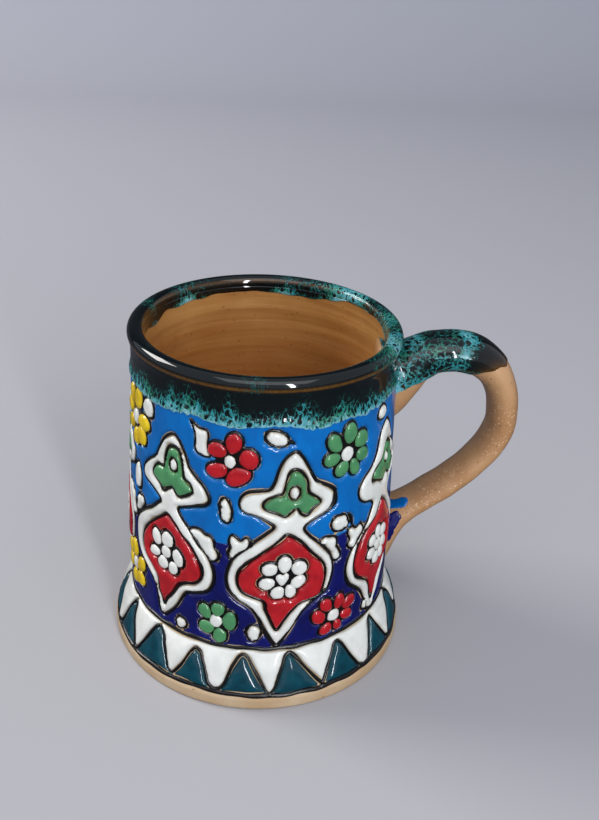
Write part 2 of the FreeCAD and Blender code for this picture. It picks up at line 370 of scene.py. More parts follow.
@dataclass(frozen=True)
class Earthenware:
    """Sandy buff earthenware, wheel thrown and left bare or under a thin clear wash.

    It shows fine iron specks, a warmer blush in patches, and the faint grain of sponged clay.
    In patches, pale specks are painted into its colour as glints, a painted highlight. Inside,
    the blush follows the throwing rings, and lower down a darker, redder tone is painted shade.
    """

    name: str
    body: str
    blush: str
    speck: str
    roughness: float
    rings: float = 0.0
    wash: float = 0.0
    tooth: float = 0.5
    # How strong the pale specks painted in as glints are, a painted highlight.
    painted_glint: float = 0.0
    # The darker, redder tone painted lower inside as shade.
    painted_shade_tone: str = "#9c5722"

    def make(self) -> bpy.types.Material:
        """Builds the material.

        Returns:
            The material.
        """
        material, tree = new_material(self.name)
        place = add_node(tree, "ShaderNodeTexCoord", {}).outputs["Object"]
        # The kiln's blush, some 14 mm across, and inside the throwing rings, 1.6 mm apart.
        patch = add_node(tree, "ShaderNodeTexNoise", {
            "Vector": place, "Scale": 1 / (14 * MM), "Detail": 4, "Roughness": 0.55})
        flat = add_node(tree, "ShaderNodeMapping", {
            "Vector": place, "Scale": (0.04, 0.04, 1)}).outputs[0]
        wheel = add_node(tree, "ShaderNodeTexNoise", {
            "Vector": flat, "Scale": 1 / (1.6 * MM), "Detail": 3})
        streak = add_node(tree, "ShaderNodeMix", {
            0: 0.75 * self.rings, 2: patch.outputs[0], 3: wheel.outputs[0]})
        amount = add_node(tree, "ShaderNodeMapRange", {
            0: streak.outputs[0], "From Min": 0.38, "From Max": 0.65})
        # Painted shade: a darker, redder tone comes in between 96 and 62 mm above the foot.
        level = add_node(tree, "ShaderNodeSeparateXYZ", {0: place})
        low = add_node(tree, "ShaderNodeMapRange", {
            0: level.outputs[2], "From Min": 96 * MM, "From Max": 62 * MM,
            "To Max": self.rings})
        upper = add_node(tree, "ShaderNodeMix", {
            0: amount.outputs[0], 6: linear(self.body), 7: linear(self.blush)},
            data_type="RGBA")
        toned = add_node(tree, "ShaderNodeMix", {
            0: low.outputs[0], 6: upper.outputs[2], 7: linear(self.painted_shade_tone)},
            data_type="RGBA")
        # Iron specks under half a millimetre wide, in every fifth cell of 1.7 mm.
        grain = add_node(tree, "ShaderNodeTexVoronoi", {
            "Vector": place, "Scale": 1 / (1.7 * MM), "Randomness": 1})
        picked = add_node(tree, "ShaderNodeSeparateColor", {0: grain.outputs["Color"]})
        rare = add_node(tree, "ShaderNodeMath", {0: picked.outputs[0], 1: 0.78},
                        operation="GREATER_THAN")
        dot = add_node(tree, "ShaderNodeMapRange", {
            0: grain.outputs["Distance"], "From Min": 0.1, "From Max": 0.28, "To Min": 0.55,
            "To Max": 0})
        spots = add_node(tree, "ShaderNodeMath", {0: rare.outputs[0], 1: dot.outputs[0]},
                         operation="MULTIPLY")
        colour = add_node(tree, "ShaderNodeMix", {
            0: spots.outputs[0], 6: toned.outputs[2], 7: linear(self.speck)},
            data_type="RGBA")
        # Painted highlight: pale specks 0.4 mm wide are mixed into the colour to stand in for
        # glints.
        glint_cells = add_node(tree, "ShaderNodeTexVoronoi", {
            "Vector": place, "Scale": 1 / (0.42 * MM), "Randomness": 1})
        lit = add_node(tree, "ShaderNodeSeparateColor", {0: glint_cells.outputs["Color"]})
        painted_glint_mask = add_node(tree, "ShaderNodeMapRange", {
            0: lit.outputs[1], "From Min": 0.89, "From Max": 0.98, "To Max": self.painted_glint})
        patchy = add_node(tree, "ShaderNodeMapRange", {
            0: patch.outputs[0], "From Min": 0.46, "From Max": 0.6})
        painted_shine = add_node(tree, "ShaderNodeMath", {0: painted_glint_mask.outputs[0], 1: patchy.outputs[0]},
                         operation="MULTIPLY")
        colour = add_node(tree, "ShaderNodeMix", {
            0: painted_shine.outputs[0], 6: colour.outputs[2], 7: linear("#f3dfba")},
            data_type="RGBA")
        # The clay's tooth is fine sand, 0.2 mm. It is drawn at 0.7 mm so that it shows.
        tooth = add_node(tree, "ShaderNodeTexNoise", {
            "Vector": place, "Scale": 1 / (0.7 * MM), "Detail": 6, "Roughness": 0.7})
        height = add_node(tree, "ShaderNodeMix", {
            0: self.rings, 2: tooth.outputs[0], 3: wheel.outputs[0]})
        bump = add_node(tree, "ShaderNodeBump", {
            "Height": height.outputs[0], "Strength": self.tooth, "Distance": 0.16 * MM})
        shader = add_node(tree, "ShaderNodeBsdfPrincipled", {
            "Base Color": colour.outputs[2], "Roughness": self.roughness, "IOR": 1.5,
            "Coat Weight": self.wash, "Coat Roughness": 0.16, "Normal": bump.outputs[0],
            "Coat Normal": bump.outputs[0]})
        add_node(tree, "ShaderNodeOutputMaterial", {"Surface": shader.outputs[0]})
        return material


@dataclass(frozen=True)
class RunningGlaze:
    """Dark copper glaze that ran in the fire and broke into turquoise lace where it stopped.

    The black parts round open cells, whose threads are palest where they lie thickest. A
    corner's "lace" value is the threads' share of a cell, below 0 where the glaze stays black.
    Where it is stretched thin over a turn, as "thin" tells, it shows amber.
    """

    name: str
    cell: float
    stretch: float
    night: str = "#070f10"
    moss: str = "#0d3b36"
    sea: str = "#2a8287"
    copper: str = "#1a6a4b"
    foam: str = "#9ad5e2"
    amber: str = "#6a4718"

    def make(self) -> bpy.types.Material:
        """Builds the material.

        Returns:
            The material.
        """
        material, tree = new_material(self.name)
        place = add_node(tree, "ShaderNodeTexCoord", {}).outputs["Object"]
        run = add_node(tree, "ShaderNodeMapping", {
            "Vector": place, "Scale": (1, 1, self.stretch)}).outputs[0]
        # Cells 1.4 to 2.1 mm wide, stirred as they were while the glaze was liquid.
        stir = add_node(tree, "ShaderNodeTexNoise", {
            "Vector": run, "Scale": 1 / (1.9 * MM), "Detail": 3})
        lay = add_node(tree, "ShaderNodeVectorMath", {
            0: stir.outputs["Color"], 1: (3.2 * MM,) * 3, 2: run},
            operation="MULTIPLY_ADD").outputs[0]
        cells = add_node(tree, "ShaderNodeTexVoronoi", {
            "Vector": lay, "Scale": 1 / (self.cell * MM), "Randomness": 1},
            feature="DISTANCE_TO_EDGE").outputs["Distance"]
        grit = add_node(tree, "ShaderNodeTexNoise", {
            "Vector": lay, "Scale": 1 / (0.9 * MM), "Detail": 4, "Roughness": 0.7})
        uneven = add_node(tree, "ShaderNodeMapRange", {
            0: grit.outputs[0], "From Min": 0.3, "From Max": 0.7, "To Min": -0.12,
            "To Max": 0.12})
        lace = add_node(tree, "ShaderNodeAttribute", {}, attribute_name="lace").outputs["Fac"]
        wide = add_node(tree, "ShaderNodeMath", {0: lace, 1: uneven.outputs[0]},
                        operation="ADD")
        over = add_node(tree, "ShaderNodeMath", {0: wide.outputs[0], 1: cells},
                        operation="SUBTRACT").outputs[0]
        # Copper green drifts through the blue in patches of 6 mm.
        drift = add_node(tree, "ShaderNodeTexNoise", {
            "Vector": place, "Scale": 1 / (6 * MM), "Detail": 3})
        green = add_node(tree, "ShaderNodeMapRange", {
            0: drift.outputs[0], "From Min": 0.48, "From Max": 0.6, "To Max": 0.8})
        pale = add_node(tree, "ShaderNodeMapRange", {
            0: wide.outputs[0], "From Min": 0.18, "From Max": 0.46})
        thread = add_node(tree, "ShaderNodeMix", {
            0: green.outputs[0], 6: linear(self.sea), 7: linear(self.copper)},
            data_type="RGBA").outputs[2]
        thread = add_node(tree, "ShaderNodeMix", {
            0: pale.outputs[0], 6: thread, 7: linear(self.foam)}, data_type="RGBA").outputs[2]
        halo = add_node(tree, "ShaderNodeMapRange", {
            0: over, "From Min": -0.12, "From Max": 0.0})
        shown = add_node(tree, "ShaderNodeMapRange", {
            0: over, "From Min": 0.0, "From Max": 0.07})
        thin = add_node(tree, "ShaderNodeAttribute", {}, attribute_name="thin").outputs["Fac"]
        broken = add_node(tree, "ShaderNodeMapRange", {
            0: grit.outputs[0], "From Min": 0.3, "From Max": 0.6,
            "To Min": 0.35})
        bare = add_node(tree, "ShaderNodeMath", {0: thin, 1: broken.outputs[0]},
                        operation="MULTIPLY")
        colour = linear(self.night)
        for share, tone in ((bare, linear(self.amber)), (halo, linear(self.moss)),
                            (shown, thread)):
            colour = add_node(tree, "ShaderNodeMix", {0: share.outputs[0], 6: colour, 7: tone},
                              data_type="RGBA").outputs[2]
        bump = add_node(tree, "ShaderNodeBump", {
            "Height": shown.outputs[0], "Strength": 0.3, "Distance": 0.12 * MM})
        dull = add_node(tree, "ShaderNodeMapRange", {
            0: shown.outputs[0], "To Min": 0.06, "To Max": 0.2})
        shader = add_node(tree, "ShaderNodeBsdfPrincipled", {
            "Base Color": colour, "Roughness": dull.outputs[0], "IOR": 1.55,
            "Normal": bump.outputs[0]})
        add_node(tree, "ShaderNodeOutputMaterial", {"Surface": shader.outputs[0]})
        return material


@dataclass(frozen=True)
class DrawnLine:
    """Manganese black mixed with oil, trailed in a raised line that keeps enamels apart.

    It fires to a satin, slightly rough black that breaks to brown.
    """

    name: str = "manganese_line"
    body: str = "#090808"
    break_tone: str = "#1d1511"

    def make(self) -> bpy.types.Material:
        """Builds the material.

        Returns:
            The material.
        """
        material, tree = new_material(self.name)
        place = add_node(tree, "ShaderNodeTexCoord", {}).outputs["Object"]
        # Ground manganese is 0.1 mm or finer. It is drawn at 0.8 mm so that it shows.
        grit = add_node(tree, "ShaderNodeTexNoise", {
            "Vector": place, "Scale": 1 / (0.8 * MM), "Detail": 5, "Roughness": 0.7})
        share = add_node(tree, "ShaderNodeMapRange", {
            0: grit.outputs[0], "From Min": 0.52, "From Max": 0.72})
        colour = add_node(tree, "ShaderNodeMix", {
            0: share.outputs[0], 6: linear(self.body), 7: linear(self.break_tone)},
            data_type="RGBA")
        bump = add_node(tree, "ShaderNodeBump", {
            "Height": grit.outputs[0], "Strength": 0.5, "Distance": 0.15 * MM})
        shader = add_node(tree, "ShaderNodeBsdfPrincipled", {
            "Base Color": colour.outputs[2], "Roughness": 0.24, "IOR": 1.5,
            "Normal": bump.outputs[0]})
        add_node(tree, "ShaderNodeOutputMaterial", {"Surface": shader.outputs[0]})
        return material


@dataclass(frozen=True)
class Finishes:
    """Every finish of the mug, made once."""

    clay: bpy.types.Material
    inside: bpy.types.Material
    handle: bpy.types.Material
    rim: bpy.types.Material
    grip_glaze: bpy.types.Material
    line: bpy.types.Material
    white: bpy.types.Material
    red: bpy.types.Material
    green: bpy.types.Material
    yellow: bpy.types.Material
    sky: bpy.types.Material
    navy: bpy.types.Material
    teal: bpy.types.Material

    def petal(self, hue: Hue) -> tuple[bpy.types.Material, str]:
        """The material and record slot of a rosette's petals."""
        return getattr(self, hue.value), f"{hue.value}_enamel"


def make_finishes() -> Finishes:
    """Makes the mug's materials.

    Returns:
        The finishes.
    """
    return Finishes(
        # Fired bare, so matt and chalky, with iron specks.
        clay=Earthenware("bare_earthenware", "#bfa888", "#b29470", "#6f4e33", 0.6).make(),
        # Under a thin wash, so warmer, with a soft gleam on the throwing rings and painted shade
        # lower down.
        inside=Earthenware("washed_earthenware", "#b9874c", "#9f6a33", "#6b401c", 0.42,
                           rings=0.8, wash=0.35).make(),
        # Sponged smooth and washed, so it shines on the bow, with pale specks painted in as
        # glints.
        handle=Earthenware("sponged_earthenware", "#bb9166", "#ab7c50", "#6f4728", 0.34,
                           wash=0.4, tooth=0.9, painted_glint=0.5).make(),
        # Dipped and run in the fire: the rim's threads are drawn down, the handle's are round.
        rim=RunningGlaze("rim_running_glaze", 1.45, 0.58).make(),
        grip_glaze=RunningGlaze("handle_running_glaze", 2.1, 1.0).make(),
        # Trailed from a nozzle, so a raised satin cord.
        line=DrawnLine().make(),
        # Poured thick and fired to glass. The blues cloud most, the skirt's teal is glossiest.
        white=Enamel("white_tin_enamel", "#dfe0da", "#d2d3cc", "#c9b897", gloss=0.1).make(),
        red=Enamel("red_enamel", "#b51d24", "#98121b", "#6d1712", gloss=0.1).make(),
        green=Enamel("green_copper_enamel", "#4f8d5b", "#3f7a52", "#5a6b3c").make(),
        yellow=Enamel("yellow_antimony_enamel", "#e3c61f", "#c9a414", "#8f6f1b").make(),
        sky=Enamel("light_blue_enamel", "#006ab6", "#00589e", "#3f86b5", 7.0, 0.5,
                   0.1).make(),
        navy=Enamel("navy_cobalt_enamel", "#0b1260", "#060a48", "#3a3f78", 6.0).make(),
        teal=Enamel("teal_copper_enamel", "#06424f", "#03303d", "#3f6266", 4.0,
                    gloss=0.07).make(),
    )


# The turned wall and what is drawn on it.


@dataclass(frozen=True)
class Wall:
    """The clay's outer surface, on which everything else lies."""

    outer: Knots = (
        (0.0, 45.9), (0.45, 46.45), (1.3, 46.6), (3.4, 46.55), (4.3, 46.2), (4.9, 45.6),
        (8.5, 44.15), (13.2, 42.6), (16.6, 41.0), (18.4, 40.4), (22.6, 40.2), (37.7, 40.15),
        (56.5, 39.5), (75.0, 38.65), (88.0, 38.3), (98.2, 38.1), (100.6, 38.1),
    )

    def radius(self, height: np.ndarray) -> np.ndarray:
        """Radius of the clay at each height."""
        return smooth_value(self.outer, height)

    def place(self, spots: np.ndarray, proud: np.ndarray) -> np.ndarray:
        """Takes flat spots to the wall.

        Args:
            spots: Pairs of along and height, in mm.
            proud: How far each stands off the clay, in mm.

        Returns:
            Their places round the mug, in mm.
        """
        along, height = spots[:, 0], spots[:, 1]
        slope = (self.radius(height + 0.4) - self.radius(height - 0.4)) / 0.8
        lean = np.hypot(1, slope)
        turn = FRONT_TURN + along / DRAWN_RADIUS
        reach = self.radius(height) + proud / lean
        return np.stack([reach * np.cos(turn), reach * np.sin(turn),
                         height - proud * slope / lean], 1)


WALL = Wall()


@dataclass
class Mark:
    """A line drawn on the wall: its path, and its half width at each point of it."""

    path: np.ndarray
    half: np.ndarray
    closed: bool = True

    def side(self, away: np.ndarray) -> np.ndarray:
        """Moves the path outwards.

        Args:
            away: How far each point moves; below 0 it moves inwards.

        Returns:
            The moved path.
        """
        if self.closed:
            run = np.roll(self.path, -1, 0) - np.roll(self.path, 1, 0)
        else:
            run = np.gradient(self.path, axis=0)
        run /= np.maximum(np.linalg.norm(run, axis=1, keepdims=True), 1e-9)
        return self.path + np.stack([run[:, 1], -run[:, 0]], 1) * np.asarray(away)[:, None]


def drawn(corners: Knots, rng: np.random.Generator, half: float = 0.6, step: float = STEP,
          shift: float = 0.0, unsteady: float = 0.0, mirror: bool = False) -> Mark:
    """Draws a closed line on the wall by hand.

    Args:
        corners: Points that it passes through, in mm.
        rng: Seeded source of the hand's unsteadiness.
        half: Mean half width of the line.
        step: Distance between its points.
        shift: How far along the wall it is moved.
        unsteady: How far each corner strays.
        mirror: Whether it is drawn the other way round before it is moved.

    Returns:
        The mark.
    """
    spots = np.array(corners, float)[:, :2]
    spots += rng.normal(size=spots.shape) * unsteady
    if mirror:
        spots[:, 0] *= -1
    spots[:, 0] += shift
    path = closed_curve(spots, step)
    width = half * np.clip(1 + 0.2 * wander(len(path), rng, 9), 0.6, 1.5)
    return Mark(path, width)


def oval(centre: tuple[float, float], wide: float, tall: float, lean: float = 0.0) -> Knots:
    """Gives the corners of an oval.

    Args:
        centre: Its middle, in mm.
        wide: Half its width.
        tall: Half its height.
        lean: How far it leans, in degrees, counter-clockwise.

    Returns:
        Its corners.
    """
    turn = np.linspace(0, TAU, 10, endpoint=False)
    across, upward = wide * np.cos(turn), tall * np.sin(turn)
    tilt = math.radians(lean)
    return list(zip(centre[0] + across * math.cos(tilt) - upward * math.sin(tilt),
                    centre[1] + across * math.sin(tilt) + upward * math.cos(tilt)))


@dataclass
class Flat:
    """A flat sheet of triangles on the drawn wall, with each corner's distance from its edge."""

    spots: np.ndarray
    faces: np.ndarray
    depth: np.ndarray

    def part(self, chosen: np.ndarray) -> "Flat":
        """Only the chosen triangles, with the corners that they use."""
        used, faces = np.unique(self.faces[chosen], return_inverse=True)
        return Flat(self.spots[used], faces.reshape(-1, 3), self.depth[used])

    def centres(self) -> np.ndarray:
        """The middle of each triangle."""
        return self.spots[self.faces].mean(1)


def joined(flats: Sequence[Flat]) -> Flat:
    """Puts several flat sheets together as one.

    Args:
        flats: The sheets.

    Returns:
        One sheet.
    """
    starts = np.cumsum([0] + [len(item.spots) for item in flats[:-1]])
    return Flat(np.vstack([item.spots for item in flats]),
                np.vstack([item.faces + start for item, start in zip(flats, starts)]),
                np.concatenate([item.depth for item in flats]))


class Clearance:
    """Distance from each spot to the edge of the nearest drawn line."""

    def __init__(self, paths: Sequence[np.ndarray], reaches: Sequence[np.ndarray]) -> None:
        """Takes the lines.

        Args:
            paths: The lines' paths.
            reaches: How far each point of them is kept clear of.
        """
        spots = np.vstack(paths)
        self.reach = np.concatenate(reaches)
        self.tree = kdtree.KDTree(len(spots))
        for number, (along, height) in enumerate(spots.tolist()):
            self.tree.insert((along, height, 0), number)
        self.tree.balance()

    def of(self, spots: np.ndarray) -> np.ndarray:
        """Measures the signed distance of each spot.

        Args:
            spots: The spots.

        Returns:
            Their distances, below 0 inside a line.
        """
        found = [self.tree.find((along, height, 0))[1:] for along, height in spots.tolist()]
        number, distance = np.array(found).T
        return distance - self.reach[number.astype(int)]


def triangulated(rails: Sequence[tuple[np.ndarray, bool]],
                 extra: np.ndarray) -> tuple[np.ndarray, np.ndarray]:
    """Triangles over rails and loose spots.

    Args:
        rails: Paths whose edges are kept, each with whether it closes.
        extra: Loose spots.

    Returns:
        The corners and the triangles, counter-clockwise.
    """
    spots, edges = [], []
    for path, closed in rails:
        first, count = len(spots), len(path)
        spots += path.tolist()
        edges += [(first + item, first + (item + 1) % count)
                  for item in range(count if closed else count - 1)]
    spots += extra.tolist()
    made = geometry.delaunay_2d_cdt([Vector(spot) for spot in spots], edges, [], 0, 1e-5, False)
    corners = np.array([spot[:] for spot in made[0]])
    faces = np.array([face for face in made[2] if len(face) == 3])
    one, two, three = (corners[faces[:, item]] for item in range(3))
    signed = np.cross(two - one, three - one)
    faces[signed < 0] = faces[signed < 0][:, ::-1]
    return corners, faces[np.abs(signed) > 1e-7]


def grid(low: np.ndarray, high: np.ndarray, spacing: float) -> np.ndarray:
    """Spreads spots evenly, in staggered rows, over a box.

    Args:
        low: The box's lowest corner.
        high: Its highest corner.
        spacing: Distance between spots.

    Returns:
        The spots.
    """
    spots = []
    for number, row in enumerate(np.arange(low[1], high[1], spacing * 0.866)):
        along = np.arange(low[0] + spacing / 2 * (number % 2), high[0], spacing)
        spots.append(np.stack([along, np.full(len(along), row)], 1))
    return np.vstack(spots)


def box_path(low: np.ndarray, high: np.ndarray, spacing: float) -> np.ndarray:
    """Places points evenly round a box.

    Args:
        low: The box's lowest corner.
        high: Its highest corner.
        spacing: Distance between points.

    Returns:
        The points, counter-clockwise from the lowest corner.
    """
    ends = np.array([low, (high[0], low[1]), high, (low[0], high[1]), low])
    sides = []
    for start, end in zip(ends[:-1], ends[1:]):
        count = max(2, round(float(np.linalg.norm(end - start)) / spacing))
        sides.append(start + (end - start) * np.linspace(0, 1, count, endpoint=False)[:, None])
    return np.vstack(sides)


def enamel_flat(marks: Sequence[Mark], keep: Callable[[np.ndarray], np.ndarray],
                rng: np.random.Generator, bare: float, stray: float, spacing: float,
                window: np.ndarray | None = None,
                seams: Sequence[np.ndarray] = (), union: bool = False) -> Flat:
    """Fills the area that lines leave, as enamel is laid between them.

    Args:
        marks: The lines that bound it.
        keep: Tells which spots belong to the area.
        rng: Seeded source of the uneven edge.
        bare: Mean width of bare clay left beside a line; below 0 it laps the line.
        stray: How much that width changes.
        spacing: Distance between spots inside the area.
        window: Corners of a box that also bounds it, with full height at its edge.
        seams: Open paths along which the sheet can be parted.
        union: Whether the marks' shapes count as one where they overlap.

    Returns:
        The area's sheet.
    """
    reaches = [np.clip(mark.half + bare + stray * wander(len(mark.path), rng, 14),
                       0.6 * mark.half, None) for mark in marks]
    paths, kept = [mark.path for mark in marks], reaches
    if union:
        outer = [~within_any(paths[:number] + paths[number + 1:], path)
                 for number, path in enumerate(paths)]
        kept = [reach[free] for reach, free in zip(reaches, outer)]
        paths = [path[free] for path, free in zip(paths, outer)]
    clear = Clearance(paths, kept)
    rails = []
    for mark, reach in zip(marks, reaches):
        for way in (1, -1):
            rail = mark.side(way * reach)
            if reach.max() < 1e-6 and way < 0:
                continue
            if union or keep(rail).mean() > 0.02:
                rails.append((rail, mark.closed))
    rails += [(seam, False) for seam in seams]
    if window is not None:
        low, high = window
        rails.append((box_path(low, high, spacing), True))
    else:
        everything = np.vstack([mark.path for mark in marks])
        low, high = everything.min(0), everything.max(0)
    loose = grid(low, high, spacing)
    loose = loose[keep(loose)]
    loose = loose[clear.of(loose) > spacing * 0.55]
    spots, faces = triangulated(rails, loose)
    centres = spots[faces].mean(1)
    chosen = keep(centres)
    chosen[chosen] = clear.of(centres[chosen]) > -0.004
    flat = Flat(spots, faces, np.zeros(len(spots))).part(chosen)
    flat.depth = np.clip(clear.of(flat.spots), 0, None)
    return flat


def line_flat(marks: Sequence[Mark]) -> Flat:
    """Fills the lines themselves, merged where they meet.

    Args:
        marks: The lines.

    Returns:
        Their sheet.
    """
    clear = Clearance([mark.path for mark in marks], [mark.half for mark in marks])
    rails = [(mark.side(way * mark.half), mark.closed) for mark in marks for way in (1, -1)]
    rails += [(mark.path, mark.closed) for mark in marks]
    spots, faces = triangulated(rails, np.zeros((0, 2)))
    flat = Flat(spots, faces, np.zeros(len(spots)))
    flat = flat.part(clear.of(flat.centres()) < 0.004)
    flat.depth = np.clip(-clear.of(flat.spots), 0, None)
    return flat


def lay(name: str, flat: Flat, slot: str, finish: bpy.types.Material, rise: float,
        edge: float, swell: float = 0.0) -> bpy.types.Object:
    """Gives a flat sheet its thickness and lays it on the wall as a closed shell.

    Args:
        name: The piece's name.
        flat: The sheet.
        slot: The record's material slot, not used.
        finish: Its material.
        rise: Height of the enamel inside its rounded edge, in mm.
        edge: Width of that edge.
        swell: Height of slow unevenness.

    Returns:
        The piece.
    """
    share = 1 - np.clip(flat.depth / edge, 0, 1)
    proud = rise * np.sqrt(1 - share ** 2) - 0.06
    if swell:
        slow = [noise.noise(Vector((along / 6, height / 5, 0))) for along, height in flat.spots]
        proud = proud + swell * np.array(slow) * (1 - share)
    count = len(flat.spots)
    top = WALL.place(flat.spots, proud)
    under = WALL.place(flat.spots, np.full(count, -SUNK))
    sides = np.vstack([flat.faces[:, [0, 1]], flat.faces[:, [1, 2]], flat.faces[:, [2, 0]]])
    code = sides[:, 0] * count + sides[:, 1]
    border = sides[~np.isin(code, sides[:, 1] * count + sides[:, 0])]
    walls = np.stack([border[:, 1], border[:, 0], border[:, 0] + count, border[:, 1] + count], 1)
    faces = flat.faces.tolist() + (flat.faces[:, ::-1] + count).tolist() + walls.tolist()
    return make_piece(name, np.vstack([top, under]), faces, slot, finish,
                      depth=np.concatenate([flat.depth, flat.depth]))


# The pot.


@dataclass
class Pot:
    """The turned earthenware: foot, skirt, wall, rolled lip and the room inside."""

    finishes: Finishes
    height: float = 105.0
    glaze_room: float = 0.25
    lip_radius: float = 37.2
    lip_tube: float = 2.15
    bore: float = 35.25
    floor: float = 7.0
    floor_round: float = 9.0
    columns: int = 288

    def lip_middle(self) -> float:
        """Height of the middle of the lip's roll, with room for the glaze above it."""
        return self.height - self.glaze_room - self.lip_tube

    def outside(self) -> np.ndarray:
        """Draws the outer profile, from the middle of the foot to the lip.

        Returns:
            Its radii and heights.
        """
        heights = np.concatenate([np.linspace(0, 1.4, 8), np.linspace(1.9, 19.5, 42),
                                  np.linspace(20.5, 100.4, 30)])
        wall = np.stack([WALL.radius(heights), heights], 1)
        foot = np.stack([np.linspace(0, 45.0, 12), np.full(12, 0.0)], 1)
        return np.vstack([foot, wall])

    def lip(self) -> np.ndarray:
        """Draws the rolled lip's profile, from its outer foot over the top to the inner one.

        Returns:
            Its radii and heights.
        """
        turn = np.radians(np.linspace(-62, 206, 26))
        return np.stack([self.lip_radius + self.lip_tube * np.cos(turn),
                         self.lip_middle() + self.lip_tube * np.sin(turn)], 1)

    def inside(self) -> np.ndarray:
        """Draws the inner profile, from under the lip down to the middle of the floor.

        Returns:
            Its radii and heights, with the rings that the thrower's fingers left.
        """
        heights = np.linspace(99.5, self.floor + self.floor_round, 60)
        rings = 0.13 * np.sin(heights / 1.05) * np.sin(heights / 9 + 1)
        wall = np.stack([self.bore + 0.06 + rings, heights], 1)
        turn = np.radians(np.linspace(8, 90, 14))
        corner = np.stack([self.bore - self.floor_round * (1 - np.cos(turn)),
                           self.floor + self.floor_round * (1 - np.sin(turn))], 1)
        radii = np.linspace(self.bore - self.floor_round - 2, 0, 14)
        coil = 0.12 * np.sin(radii / 1.6)
        return np.vstack([wall, corner, np.stack([radii, self.floor + coil], 1)])

    def build(self) -> list[bpy.types.Object]:
        """Makes the pot as one closed shell with its outer and inner finish.

        Returns:
            The pot, alone in a list.
        """
        outer, lip, inner = self.outside(), self.lip(), self.inside()
        profile = np.vstack([outer, lip, inner])
        turn = np.linspace(0, TAU, self.columns, endpoint=False)
        radius, height = profile[1:-1, 0][:, None], profile[1:-1, 1][:, None]
        wobble = 0.05 * np.sin(3 * turn + height / 11) + 0.04 * np.sin(5 * turn - height / 17)
        reach = radius + wobble * np.clip(radius / 20, 0, 1)
        rows = np.stack([reach * np.cos(turn), reach * np.sin(turn),
                         np.broadcast_to(height, reach.shape)], -1)
        count = len(rows)
        points = np.vstack([rows.reshape(-1, 3), [[0, 0, 0], [0, 0, profile[-1, 1]]]])
        faces = ring_faces(count, self.columns, False).tolist()
        after = (np.arange(self.columns) + 1) % self.columns
        last = (count - 1) * self.columns
        faces += [[count * self.columns, int(nxt), item] for item, nxt in enumerate(after)]
        faces += [[count * self.columns + 1, last + item, last + int(nxt)]
                  for item, nxt in enumerate(after)]
        piece = make_piece("pot_body", points, faces, "bare_clay", self.finishes.clay)
        piece.data.materials.append(self.finishes.inside)
        # The inner finish starts under the glaze, a few rows before the lip's inner end.
        inner_row = len(outer) + len(lip) - 8
        quads = (count - 1) * self.columns
        index = [1 if inner_row * self.columns <= item < quads
                 or item >= quads + self.columns else 0
                 for item in range(len(piece.data.polygons))]
        piece.data.polygons.foreach_set("material_index", index)
        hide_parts(NODE)
        return [piece]


# How far down the rim's glaze ran, and how far up its lace reaches, along the front wall.
GLAZE_FOOT: Knots = (
    (-62, 90.6), (-46, 90.6), (-40, 90.4), (-34, 90.2), (-28, 90.6), (-24, 91.0), (-20, 91.6),
    (-16, 91.0), (-12, 90.4), (-8, 90.2), (-4, 90.6), (0, 91.1), (4, 91.3), (8, 91.0),
    (11, 90.3), (14, 89.4), (18, 89.6), (22, 90.2), (26, 90.5), (29, 90.0), (32, 89.4),
    (34, 90.2), (38, 90.0), (44, 90.4), (52, 90.2),
)
LACE_TOP: Knots = (
    (-62, 96), (-50, 95.5), (-40, 99), (-35, 96), (-30.5, 96), (-27, 100.5), (-24.5, 97.5),
    (-21.5, 101.5), (-18, 98.5), (-14.5, 96), (-12, 96), (-9.5, 101), (-7, 97), (-4, 95.5),
    (0, 95.5), (4, 96), (8, 97.5), (11.5, 101), (14, 97), (18, 95), (22.5, 98.8), (26, 97),
    (30, 95.5), (34, 97.5), (38, 96), (44, 97), (52, 96),
)
# Turn about the mug's axis in degrees, and height of the glaze's edge inside.
INNER_FOOT: Knots = (
    (-180, 99.2), (-150, 100.6), (-90, 101.3), (-30, 100.6), (-2, 99.0), (10, 101.0),
    (26, 101.6), (39, 101.8), (53, 100.0), (69, 99.4), (82, 99.6), (94, 100.2), (108, 100.0),
    (123, 99.6), (137, 99.1), (147, 99.3), (158, 97.4), (169, 98.0), (180, 99.2),
)


def round_end(reach: np.ndarray) -> np.ndarray:
    """Height of a rounded edge, from 0 at its foot to 1 at its full reach."""
    return np.sqrt(1 - (1 - np.clip(reach, 0, 1)) ** 2)


